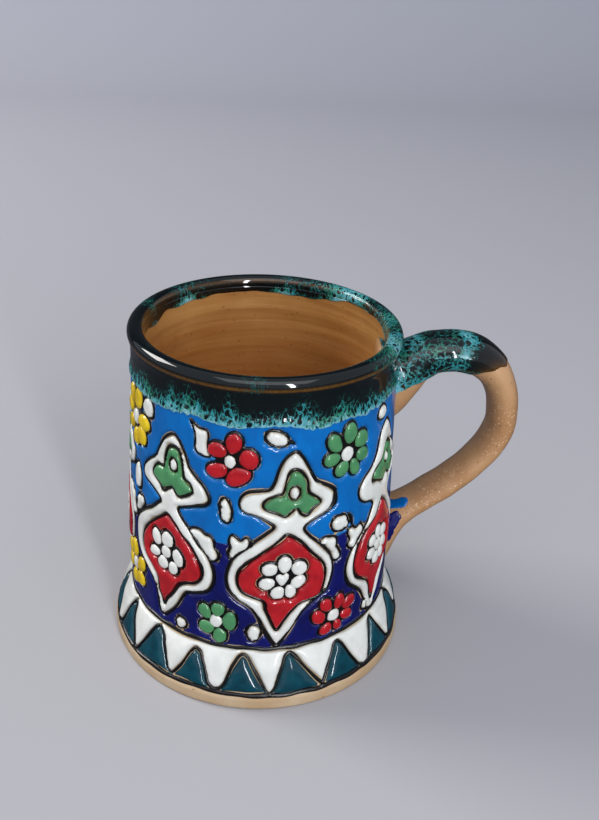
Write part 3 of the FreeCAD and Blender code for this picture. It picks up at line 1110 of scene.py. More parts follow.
@dataclass
class RimCoat:
    """The dark glaze round the neck and over the lip, which ran down outside and inside."""

    finishes: Finishes
    pot: Pot
    columns: int = 520
    thick: float = 0.42
    wall_top: float = 100.9
    back_foot: float = 90.5
    back_lace: float = 97.2
    # Where drips hung inside: turn and reach in degrees, and how much foam they hold.
    drips: tuple = ((79, 8, 0.4), (132, 9, 0.36), (48, 12, 0.12))

    def edges(self, turn: np.ndarray) -> tuple[np.ndarray, np.ndarray, np.ndarray]:
        """The heights between which the glaze lies.

        Args:
            turn: Turns about the mug's axis, from 0 to a full turn.

        Returns:
            The height of its outer edge, of its lace's top and of its inner edge.
        """
        rng = np.random.default_rng(41)
        along = (turn - FRONT_TURN + math.pi) % TAU * DRAWN_RADIUS - math.pi * DRAWN_RADIUS
        seen = np.clip((60 - np.abs(along)) / 10, 0, 1)
        ripple = 0.22 * wander(len(turn), rng, 150)
        low = self.back_foot + 0.6 * wander(len(turn), rng, 22)
        low = low + (smooth_value(GLAZE_FOOT, along) - low) * seen + ripple
        top = self.back_lace + 2.2 * wander(len(turn), rng, 30)
        top = top + (smooth_value(LACE_TOP, along) - top) * seen
        round_turn = np.degrees((turn + math.pi) % TAU - math.pi)
        inner = smooth_value(INNER_FOOT, round_turn) + 0.2 * wander(len(turn), rng, 34)
        return low, np.maximum(top, low + 3), inner

    def build(self) -> list[bpy.types.Object]:
        """Makes the coat as a closed ring.

        Returns:
            The coat, alone in a list.
        """
        turn = np.linspace(0, TAU, self.columns, endpoint=False)
        low, top, inner = self.edges(turn)
        wall = low + (self.wall_top - low) * np.linspace(0, 1, 24)[:, None]
        swell = 0.5 * np.exp(-((wall - low - 1.3) / 1.5) ** 2)
        fill = 0.45 * np.clip((wall - 98.2) / 2.7, 0, 1) ** 2
        proud = (self.thick + 0.2 + swell + fill) * round_end((wall - low) / 0.8)
        bend = np.radians(np.linspace(-34, 200, 30))[:, None]
        middle = self.pot.lip_middle()
        start = middle + self.pot.lip_tube * math.sin(float(bend[-1, 0]))
        bore = start + (inner - start) * np.linspace(0.08, 1, 12)[:, None]
        skin = self.thick * round_end((bore - inner) / 0.7)
        level = np.ones(self.columns)

        def layer(outside: bool) -> np.ndarray:
            """Draws the coat's section at every turn.

            Args:
                outside: Whether it is the side seen, or the underside in the clay.

            Returns:
                Its radii and heights.
            """
            tube = self.pot.lip_tube + (0.2 if outside else -0.6)
            radius = np.vstack([
                WALL.radius(wall) + (proud if outside else -0.5),
                (self.pot.lip_radius + tube * np.cos(bend)) * level,
                np.full_like(bore, self.pot.bore) - (skin if outside else -0.6)])
            height = np.vstack([wall, (middle + tube * np.sin(bend)) * level, bore])
            return np.stack([radius, height])

        radius, height = np.concatenate([layer(True), layer(False)[:, ::-1]], 1)
        points = np.stack([radius * np.cos(turn), radius * np.sin(turn), height], -1)
        share = np.clip((wall - low) / (top - low), 0, 1.2)
        patch = np.array([noise.noise(Vector((4 * math.cos(item), 4 * math.sin(item), 3.1)))
                          for item in turn])
        side = np.clip(np.cos(turn - math.radians(20)) * 2.2 - 0.7, 0, 1)
        hung = sum(much * np.exp(-((np.degrees(turn) - where) / reach) ** 2)
                   for where, reach, much in self.drips)
        lip = (-0.13 + 0.26 * side + 0.3 * patch + 0.25 * hung) * np.ones_like(bend)
        drip = -0.08 + 0.3 * side + 0.45 * patch + hung - 0.1 * np.clip(bore - inner, 0, 2)
        foam = 0.36 * np.clip(1 - share, -0.2, 1) - 0.07 + 0.22 * np.exp((low - wall) / 0.7)
        lace = np.vstack([foam, lip, drip])
        # The lip's two shoulders, over which the glaze is stretched thin.
        edge = np.exp(-((bend - math.radians(-14)) / 0.2) ** 2) \
            + 0.8 * np.exp(-((bend - math.radians(150)) / 0.17) ** 2)
        thin = np.vstack([np.zeros_like(wall), np.clip(edge, 0, 1) * level,
                          np.zeros_like(bore)])
        faces = ring_faces(len(points), self.columns, True)
        return [make_piece("rim_glaze", points.reshape(-1, 3), faces.tolist(), "rim_glaze",
                           self.finishes.rim, lace=np.vstack([lace, lace[::-1]]),
                           thin=np.vstack([thin, thin[::-1]]))]


# The strap handle.


def tube_faces(rows: int, columns: int) -> list[list[int]]:
    """Corner numbers of the faces of a tube with closed ends.

    Args:
        rows: Number of rings of corners.
        columns: Corners in each ring.

    Returns:
        The corner numbers of each face.
    """
    last = (rows - 1) * columns
    return [*ring_faces(rows, columns, False)[:, ::-1].tolist(), list(range(columns)),
            list(range(last, last + columns))[::-1]]


@dataclass
class Strap:
    """The pulled handle: an oval strap, flared where it is luted to the wall.

    Each station gives its place along X and Z, its thickness and width, and the way it runs,
    in degrees above level.
    """

    finishes: Finishes
    stations: tuple = (
        (34.5, 85.6, 27.0, 19.5, 6), (38.6, 87.4, 21.5, 17.6, 14), (41.8, 90.2, 15.8, 16.2, 30),
        (45.2, 93.4, 12.4, 15.4, 34), (49.6, 95.5, 11.3, 15.0, 16), (55.0, 96.1, 11.1, 15.0, 0),
        (60.9, 95.3, 10.9, 15.0, -18), (66.7, 91.8, 10.3, 14.9, -42),
        (70.9, 85.9, 9.6, 14.8, -62), (73.0, 78.0, 9.1, 14.6, -82),
        (72.8, 69.9, 8.4, 14.4, -101), (69.4, 62.6, 7.8, 14.2, -121),
        (64.1, 56.0, 7.6, 14.2, -136), (58.4, 50.7, 7.5, 14.2, -143),
        (52.2, 46.1, 7.3, 14.3, -144), (47.4, 42.5, 7.8, 14.7, -144),
        (43.8, 39.8, 9.4, 15.4, -146), (41.2, 36.6, 13.2, 16.4, -156),
        (38.9, 32.6, 22.0, 17.4, -172), (35.5, 31.0, 30.0, 18.5, -180),
    )
    sides: int = 56
    rows: int = 170
    glaze_sides: int = 112
    glaze_rows: int = 120

    def surface(self, station: np.ndarray, turn: np.ndarray, proud: np.ndarray) -> np.ndarray:
        """Places on the strap's surface.

        Args:
            station: Which station each lies at, with parts between them.
            turn: Turn round the strap, from its outer side.
            proud: How far each stands off the clay, in mm.

        Returns:
            Their places, in mm.
        """
        table = np.array(self.stations, float)
        number = np.arange(len(table))
        x, z, thick, wide, lean = (smooth_value(np.stack([number, column], 1), station, False)
                                   for column in table.T)
        # The section is a little squarer than an ellipse, as a pulled strap's is.
        across = np.sign(np.cos(turn)) * np.abs(np.cos(turn)) ** 0.95
        sideways = np.sign(np.sin(turn)) * np.abs(np.sin(turn)) ** 0.95
        uneven = 0.07 * np.sin(2.1 * station + 2 * turn) + 0.05 * np.sin(5.3 * station - turn)
        lean = np.radians(lean)
        upward = (thick / 2 + uneven + proud) * across
        return np.stack([x - np.sin(lean) * upward, (wide / 2 + uneven + proud) * sideways,
                         z + np.cos(lean) * upward], -1)

    def build(self) -> list[bpy.types.Object]:
        """Makes the strap, with its ends closed inside the wall, and what ran over it.

        Returns:
            The strap, its glaze and the blots on it.
        """
        station, turn = np.meshgrid(np.linspace(0, len(self.stations) - 1, self.rows),
                                    np.linspace(0, TAU, self.sides, endpoint=False),
                                    indexing="ij")
        points = self.surface(station, turn, np.zeros_like(turn)).reshape(-1, 3)
        strap = make_piece("strap_handle", points, tube_faces(self.rows, self.sides),
                           "bare_clay", self.finishes.handle)
        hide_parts(NODE)
        return [strap, self.glaze(), *self.spills()]

    def glaze(self) -> bpy.types.Object:
        """Makes the rim's glaze where it ran on over the handle's crown.

        Returns:
            The glaze, which leaves the lower side of the strap's root bare.
        """
        rows, sides = self.glaze_rows, self.glaze_sides
        station, turn = np.meshgrid(np.linspace(0.2, 8.4, rows),
                                    np.linspace(0, TAU, sides, endpoint=False), indexing="ij")
        stray = 0.2 * wander(sides, np.random.default_rng(57), 9)
        end = (6.8 + 0.55 * np.cos(turn[0]) - station) * 5.5 + stray
        foot = np.interp(station, [1, 2.1, 3, 3.8, 4.3], [-0.09, -0.34, -0.8, -1.1, -1.7])
        floor = (np.cos(turn) - foot) * 7 + stray
        reach = np.minimum(end, floor)
        proud = -0.35 + 0.7 * round_end(reach / 0.9)
        points = np.vstack([self.surface(station, turn, proud),
                            self.surface(station, turn, np.full_like(turn, -0.9))[::-1]])
        slow = np.array([noise.noise(Vector(spot) / 7) for spot in
                         points[:rows].reshape(-1, 3).tolist()]).reshape(rows, sides)
        lace = 0.12 + 0.24 * slow + 0.2 * np.exp(-np.clip(floor, 0, None) / 2.5)
        lace -= 0.42 * np.clip((1 - end / 9) * (0.45 + np.cos(turn)) * 1.6, 0, 1)
        faces = ring_faces(2 * rows, sides, True)[:, ::-1]
        return make_piece("handle_glaze", points.reshape(-1, 3), faces.tolist(), "rim_glaze",
                          self.finishes.grip_glaze, lace=np.vstack([lace, lace[::-1]]),
                          thin=np.tile(np.exp(-np.clip(reach, 0, None) / 1.1), (2, 1)))

    def spills(self) -> list[bpy.types.Object]:
        """Makes the two blots of blue enamel that ran from the wall on to the lower root.

        Returns:
            The blots.
        """
        fin, made = self.finishes, []
        # Name, finish, slot, then each drop's station, turn and half sizes in mm.
        blots = (
            ("light_blue_blot", fin.sky, "light_blue_enamel",
             ((15.3, 207, 3.0, 2.1), (15.9, 200, 2.4, 1.8))),
            ("navy_blot", fin.navy, "navy_enamel",
             ((16.2, 244, 2.2, 2.6), (16.75, 250, 2.1, 2.6), (17.2, 258, 2.1, 2.5),
              (17.6, 266, 2.0, 2.0))),
        )
        for name, finish, slot, drops in blots:
            station, turn = np.meshgrid(np.linspace(14.2, 18.6, 50),
                                        np.radians(np.linspace(150, 310, 64)), indexing="ij")
            flat = self.surface(station, turn, np.zeros_like(turn))
            reach = np.full_like(turn, -1.0)
            for at, side, long, tall in drops:
                middle = self.surface(np.array(at), np.array(math.radians(side)),
                                      np.array(0.0))
                gap = (flat - middle) / np.array([long, 2.2, tall])
                reach = np.maximum(reach, 1 - np.linalg.norm(gap, axis=-1))
            rough = np.array([noise.noise(Vector(spot) / 1.4) for spot in
                              flat.reshape(-1, 3).tolist()]).reshape(reach.shape)
            proud = -0.3 + 0.6 * round_end((reach + 0.3 * rough) * 2.4)
            under = self.surface(station, turn, np.full_like(turn, -0.9))
            points = np.hstack([self.surface(station, turn, proud), under[:, ::-1]])
            rows, around = points.shape[:2]
            made.append(make_piece(name, points.reshape(-1, 3), tube_faces(rows, around), slot,
                                   finish, depth=np.full(rows * around, 1.0)))
        return made


# The painted wall.

MIDDLE_OUTLINE: Knots = (
    (9.4, 83.6), (11.7, 81.5), (13.8, 77.8), (15.9, 74), (18.4, 72.3), (20.9, 70.7),
    (22.3, 69), (22, 66), (20, 63.5), (15, 61.5), (12.8, 59.3), (14.5, 56.5), (17, 54),
    (19.5, 51), (21.5, 48), (22.5, 44), (22, 40), (20.5, 36.5), (18, 35), (13.5, 31),
    (10, 25), (6.5, 19.5), (5.2, 19.4), (2, 25), (0, 30), (-2.5, 33.5), (-6, 36),
    (-8.5, 39), (-9.2, 43), (-8.5, 47), (-7, 50.5), (-4.5, 53), (-1, 56), (2, 58.5),
    (4, 60.4), (2.5, 62), (-1, 64), (-4.5, 65), (-6, 67), (-5.5, 69.5), (-3.5, 71.3),
    (0, 71.9), (2.5, 72.3), (3.8, 74.5), (5, 78.5), (6.5, 81.5),
)
MIDDLE_HEART: Knots = (
    (8, 57.8), (11.7, 55.3), (15.5, 50.7), (18.8, 46.9), (20, 44), (19.8, 39.8),
    (18.8, 36.1), (16.3, 34.8), (12.6, 34), (10.5, 31.9), (8, 28.6), (5.7, 24.8),
    (3.8, 28.6), (2.3, 32.3), (1.5, 35.5), (-1.6, 37.1), (-4.5, 38.6), (-6, 41.5),
    (-5.8, 45.3), (-3.7, 48.2), (-0.4, 51.1), (3.8, 54.4), (6.3, 56.7),
)
MIDDLE_TREFOIL: Knots = (
    (9.6, 78.2), (11.7, 76.9), (13.4, 74), (13.8, 70.7), (16.3, 68.6), (17.6, 66.9),
    (15.5, 65.3), (13.4, 63.4), (11.7, 64), (10.3, 65.9), (8.8, 64.8), (7.1, 63.6),
    (4.6, 64.8), (1.3, 66.1), (0.7, 67.8), (2.1, 69.4), (4.6, 70.5), (6.3, 71.1),
    (7.1, 74.8), (8, 77.3),
)
LEFT_OUTLINE: Knots = (
    (-26.5, 83.8), (-24.5, 82), (-22.5, 78.5), (-21.3, 75.5), (-19, 73), (-16.3, 70.5),
    (-14.7, 67), (-16, 65), (-19.3, 63.8), (-23, 62.3), (-25, 61.2), (-23.5, 58.5),
    (-20.5, 55.5), (-18.5, 52.5), (-15, 49), (-13.5, 45.7), (-12.9, 42.8), (-13.3, 39.4),
    (-15, 36.5), (-18.7, 34.8), (-22.1, 33.2), (-25.5, 27), (-28.8, 22.8), (-30.8, 21.2),
    (-32.5, 22.8), (-33.4, 27.8), (-34.6, 31), (-38, 34.2), (-41.7, 37), (-44.2, 40.3),
    (-45, 44), (-44.8, 48.2), (-43.6, 50.7), (-40.5, 53.6), (-36.3, 56.5), (-33.4, 59.4),
    (-31.8, 61.3), (-34.6, 63.2), (-39.2, 64.6), (-40.7, 66.5), (-40.3, 69), (-38, 71.5),
    (-34.6, 74.4), (-32.8, 77.8), (-31.3, 80.7), (-28.8, 83),
)
LEFT_HEART: Knots = (
    (-28.8, 57.8), (-26.3, 56.1), (-23.4, 53.2), (-20.5, 50.7), (-18.7, 48.2),
    (-17, 44.8), (-16.6, 41), (-18.7, 38.2), (-22.1, 36.9), (-24.6, 34.8), (-27.1, 30.7),
    (-29.2, 27.8), (-30.3, 25.3), (-31.3, 27.8), (-32.5, 29.8), (-33, 34), (-35.5, 36.5),
    (-39.2, 39), (-40.7, 42.3), (-40.5, 45.7), (-38.8, 49), (-34.6, 53.2), (-31.3, 56.1),
)
LEFT_TREFOIL: Knots = (
    (-26.9, 80), (-24.6, 79), (-23.4, 74), (-23, 71.5), (-20.9, 70.3), (-20, 68.2),
    (-21.7, 66.5), (-24.6, 65), (-26.1, 66.1), (-27.1, 67.1), (-28.8, 66.1),
    (-30.9, 64.6), (-32.1, 66.1), (-35.5, 68.2), (-35, 70.7), (-33, 72.5), (-30.7, 72.5),
    (-30.3, 75.7), (-29.2, 79),
)
RIGHT_OUTLINE_NEAR: Knots = (
    (40.6, 18.9), (38.9, 20.3), (37.2, 24.8), (35.1, 29), (32.2, 31.9), (29.3, 34.8),
    (27.6, 39), (27.6, 42.8), (29.3, 46.9), (32.2, 49.8), (35.6, 53), (37.2, 55.7),
    (38.7, 58.6), (37.6, 59.8), (33.9, 61.1), (31.8, 63.6), (31.6, 66.5), (33.5, 69),
    (37.2, 71.5), (39.7, 74.8), (41, 79), (42.6, 81.9),
)
RIGHT_HEART_NEAR: Knots = (
    (41.8, 22.3), (40.1, 25.7), (38.5, 30.7), (35.6, 33.2), (32.2, 36.1), (30.6, 40.3),
    (31, 44.4), (33, 48.6), (36.4, 51.1), (40.6, 53.2), (43.5, 56.9),
)
# Ovals: middle along, middle height, half width, half height and lean in degrees.
MIDDLE_PETALS = (
    (3, 46.9, 2.2, 1.9, 30), (7.3, 48.4, 1.9, 2.5, 0), (11.7, 46.7, 2.0, 2.3, 35),
    (11.5, 42.1, 1.8, 2.3, -35), (9.2, 39, 1.5, 2.2, 0), (5.5, 38.8, 1.9, 2.0, -15),
    (2.3, 42.1, 2.1, 1.9, 20),
)
LEFT_PETALS = (
    (-33.2, 48.4, 1.8, 2.4, 10), (-28.6, 49.4, 2.2, 2.3, 0), (-24.4, 44.8, 1.5, 2.8, 15),
    (-26.1, 40.5, 1.5, 2.1, -12), (-30.3, 40.7, 2.0, 1.9, 0), (-34, 43, 2.1, 1.6, 20),
)
RIGHT_PETALS = (
    (39.1, 45.3, 1.9, 1.7, 30), (42.6, 46.9, 1.7, 2.1, 0), (46.6, 45.3, 2.0, 1.9, -30),
    (47.0, 41.0, 1.8, 2.0, 30), (45.2, 38.0, 1.6, 1.9, 0), (41.8, 37.8, 1.8, 2.0, 0),
    (38.6, 40.9, 2.0, 1.8, -20),
)
HEART_SEED: Knots = (
    (6.7, 41.4), (8.3, 43.2), (8.5, 44.8), (7.6, 45.3), (6.8, 44.7), (6.0, 45.2),
    (5.1, 44.6), (5.3, 43.0),
)
# The white lumps on the medallions' shoulders, from left to right.
FAR_LEFT_LUMP: Knots = (
    (-44.2, 57.2), (-43, 56.8), (-42, 57.5), (-40.6, 57), (-40.2, 55.4), (-41.7, 53.5),
    (-42.9, 51.8), (-44.5, 50.9), (-45.9, 52.2), (-45.3, 54), (-45.4, 55.6),
)
LEFT_LUMP: Knots = (
    (-20.9, 55.9), (-19.3, 56.9), (-17.5, 57.0), (-16.3, 56.2), (-15.6, 55.7),
    (-14.6, 55.7), (-13.5, 55.0), (-13.0, 53.5), (-12.9, 52.3), (-11.8, 50.8),
    (-11.6, 49.2), (-12.4, 47.8), (-13.8, 47.7), (-15.3, 49.2), (-16.8, 51.0),
    (-18.2, 52.8), (-19.8, 54.4),
)
MIDDLE_LUMP: Knots = (
    (-8.7, 55.7), (-8.1, 57.1), (-7.2, 57.2), (-6.3, 56.5), (-5.6, 55.8), (-4.9, 55.9),
    (-4.2, 56.7), (-3.1, 56.8), (-2.6, 55.4), (-3.0, 53.7), (-4.5, 52.3), (-5.9, 51.0),
    (-6.9, 49.9), (-8.0, 49.5), (-8.9, 50.8), (-8.6, 52.2), (-8.2, 53.3), (-8.6, 54.5),
)
RIGHT_LUMP: Knots = (
    (17.9, 54.3), (19.4, 55.0), (20.9, 54.6), (22.3, 54.3), (23.3, 53.6), (23.5, 52.1),
    (23.4, 50.9), (24.2, 49.6), (24.9, 48.1), (24.6, 46.6), (23.3, 45.9), (22.3, 46.3),
    (21.6, 48.2), (20.4, 50.4), (19.0, 51.9), (17.8, 53.0),
)
FAR_RIGHT_LUMP: Knots = (
    (27.6, 54.6), (28.4, 55.0), (29.7, 54.9), (30.6, 54.0), (31.4, 54.3), (32.9, 54.7),
    (33.9, 53.0), (33.3, 51.5), (32.0, 50.2), (31.0, 48.6), (29.8, 47.5), (28.2, 48.2),
    (27.6, 49.8), (28.4, 51.2), (27.6, 52.8),
)
# Where the line's glaze ran: short strokes, with the half width of each.
SMEARS = (
    (((27.2, 60.3), (28.7, 57.9), (29.3, 55.4)), 0.95),
    (((-2.9, 56.8), (-2.2, 55.2), (-2.4, 53.7)), 0.85),
    (((5.4, 87.5), (7.4, 86.9), (9.2, 85.9)), 0.7),
    (((22.7, 68.8), (22.3, 65.6), (19.8, 63.0)), 0.85),
    (((13.9, 76.8), (15.4, 74.3), (17.2, 72.8)), 0.7),
)
# The zigzag between the two rows of teeth, over the six teeth that face the viewer.
ZIGZAG: Knots = (
    (-45.2, 14.3), (-43.8, 13.3), (-39.4, 5.5), (-38.8, 5.3), (-38, 5.4), (-33, 15.8),
    (-31.3, 16.8), (-29.1, 15), (-25.2, 6.4), (-24, 5.7), (-23.3, 6.1), (-21.3, 9.4),
    (-19.4, 13.9), (-18, 15.7), (-16.1, 15), (-14.4, 11.1), (-13, 6.7), (-11.3, 5.4),
    (-9.4, 5.8), (-8.3, 7.5), (-6.6, 12.8), (-4.9, 15.8), (-3.6, 16.6), (-2.2, 15.6),
    (0.3, 11.1), (2.8, 6.1), (3.9, 5.1), (5.3, 6.7), (6.7, 11.1), (8.4, 15.8), (9.8, 16.8),
    (11.7, 15), (14.8, 10.6), (17.6, 6.7), (18.7, 5.4), (20.1, 8.1), (21.7, 11.7),
    (23.9, 15.6), (25.3, 16.2), (26.7, 14.7), (28.9, 10), (31.2, 5.8), (32.8, 4.9),
    (34.8, 5.1), (36.2, 7.8), (37.8, 12.8), (39.2, 15.8), (40.6, 16.6),
)
# The white leaf beside the upper red rosette.
LEAF: Knots = (
    (-21, 90.2), (-18.5, 88.5), (-15.8, 88.1), (-15.3, 86.2), (-15.5, 84.2), (-15.2, 82.2),
    (-14.7, 80.5), (-16.4, 80.2), (-18.6, 80.9), (-19.5, 82.6), (-19.4, 85), (-19.7, 87.4),
)
# The rosettes' petals, above and below, as ovals again.
RED_TOP = (
    (-12.8, 83.3, 2.6, 2.0, 20), (-7.8, 86, 2.2, 2.5, 0), (-3.3, 81.5, 2.2, 2.9, 15),
    (-6.4, 75.6, 3.7, 2.1, 28), (-12.7, 76.8, 2.8, 2.1, 0),
)
GREEN_TOP = (
    (21, 84.3, 2.0, 2.7, 15), (26.5, 86.4, 2.3, 2.6, 0), (31.3, 83.0, 2.1, 2.6, 35),
    (32, 77.8, 2.0, 2.0, 0), (28.9, 74.6, 1.7, 2.3, 15), (24, 75.4, 2.2, 2.0, 0),
    (20.2, 79.3, 2.1, 1.9, 0),
)
YELLOW_TOP = (
    (-44.4, 88, 2.3, 3.0, -15), (-40.7, 81.6, 3.1, 2.3, 0), (-42.2, 76.6, 2.4, 2.6, -35),
    (-46.6, 74.6, 2.4, 2.2, 0), (-51.6, 77.6, 2.6, 2.2, 20), (-53, 82.6, 2.5, 2.3, 0),
    (-50, 87.4, 2.2, 2.6, 25),
)
GREEN_FOOT = (
    (-15.6, 29.8, 1.7, 2.3, 0), (-11.4, 31.4, 2.0, 1.9, 0), (-7.7, 27.8, 1.6, 3.2, 0),
    (-10.7, 21.6, 1.9, 2.3, -35), (-15, 23.9, 2.3, 2.0, -30),
)
RED_FOOT = (
    (20.7, 30.9, 1.8, 2.1, 20), (25.6, 30.8, 1.7, 2.2, 0), (29.7, 28.7, 2.0, 2.1, 0),
    (28.9, 24.1, 1.9, 1.8, 20), (25.4, 21.6, 1.4, 1.4, 0), (21.1, 21.5, 1.9, 1.7, 0),
    (18.2, 27.1, 1.7, 2.5, 12),
)
YELLOW_FOOT = (
    (-47.6, 35.8, 2.6, 2.7, 0), (-42.4, 32.4, 2.0, 3.0, -25), (-42.9, 26.6, 2.1, 2.5, -35),
    (-48.2, 24.4, 2.5, 2.1, 0), (-52.6, 28.0, 2.1, 2.4, 25), (-52.4, 33.4, 2.2, 2.3, -25),
)
# Turns, in degrees from the handle, of the medallions at the back and of the gaps between them.
BACK_TURNS = (31.6, 80.1, 128.6, 177.1)
GAP_TURNS = (55.9, 104.4, 152.9)


def along_of(turn: float) -> float:
    """Where a turn about the mug's axis, in degrees from the handle, lies along the wall."""
    reach = (math.radians(turn) - FRONT_TURN) * DRAWN_RADIUS
    return reach if reach <= SEAM else reach - GIRTH


def moved(rows: Sequence[tuple], along: float) -> list[tuple]:
    """Corners, or rows that start with one, moved along the wall."""
    return [(row[0] + along, *row[1:]) for row in rows]


def in_box(box: np.ndarray, spots: np.ndarray) -> np.ndarray:
    """True for each spot in a box, from its lowest to its highest corner, or on its edge."""
    return (spots >= box[0] - 1e-6).all(1) & (spots <= box[1] + 1e-6).all(1)


@dataclass
class Medallion:
    """A white medallion that frames a red heart with a flower, and a green trefoil."""

    outline: Mark
    heart: Mark
    trefoil: Mark
    dot: Mark
    petals: list[Mark]
    seed: Mark
    shoulders: list[Mark]

    def marks(self) -> list[Mark]:
        """The lines drawn for it."""
        return [self.outline, self.heart, self.trefoil, self.dot, *self.shoulders]


@dataclass
class Rosette:
    """Round petals about a white centre, on a dark ground."""

    hue: Hue
    petals: list[Mark]
    centre: Mark

    def ground(self, room: float) -> list[Mark]:
        """Its outline, as each petal's and a core's, grown by some room."""
        return bed_of(self.petals, self.centre, room)


def bed_of(petals: list[Mark], centre: Mark, room: float) -> list[Mark]:
    """Shapes that cover a flower: each petal and a core, grown by some room.

    Args:
        petals: Its petals.
        centre: The mark in its middle.
        room: How far the ground shows beyond them.

    Returns:
        The shapes, which overlap.
    """
    middle = centre.path.mean(0)
    ring = np.array([mark.path.mean(0) for mark in petals])
    ring = ring[np.argsort(np.arctan2(*(ring - middle).T[::-1]))]
    core = spaced(closed_curve(ring, STEP), STEP, True)
    return [*(grown(mark, room) for mark in petals), Mark(core, np.zeros(len(core)))]


def grown(mark: Mark, room: float) -> Mark:
    """A mark's shape grown by some room, as a line with no width."""
    path = spaced(mark.side(np.full(len(mark.path), room)), STEP, True)
    return Mark(path, np.zeros(len(path)))


def covered(bed: Sequence[Mark], rng: np.random.Generator) -> Flat:
    """Fills the dark ground that a flower's shapes cover together.

    Args:
        bed: The shapes, which overlap.
        rng: Seeded source of the hand's unsteadiness.

    Returns:
        The ground's sheet.
    """
    paths = [mark.path for mark in bed]
    return enamel_flat(bed, lambda spots: within_any(paths, spots), rng, bare=0, stray=0,
                       spacing=0.6, union=True)


def ovals(table: Sequence[tuple], rng: np.random.Generator, shift: float = 0.0,
          mirror: bool = False, inward: float = 0.3) -> list[Mark]:
    """Draws a flower's petals by hand.

    Args:
        table: Rows of each petal's middle, half sizes and lean.
        rng: Seeded source of the hand's unsteadiness.
        shift: How far along the wall they are moved.
        mirror: Whether they are drawn the other way round before they are moved.
        inward: How far each petal's inner end is drawn out towards the flower's middle.

    Returns:
        The petals.
    """
    middle = np.mean([row[:2] for row in table], axis=0)
    petals = []
    for row in table:
        away = np.array(oval(row[:2], *row[2:])) - middle
        reach = np.linalg.norm(away, axis=1, keepdims=True)
        near = (reach.max() - reach) / np.ptp(reach)
        petals.append(drawn(middle + away * (1 - inward * near / reach), rng, 0.0, 0.36,
                            shift, 0.06, mirror))
    return petals


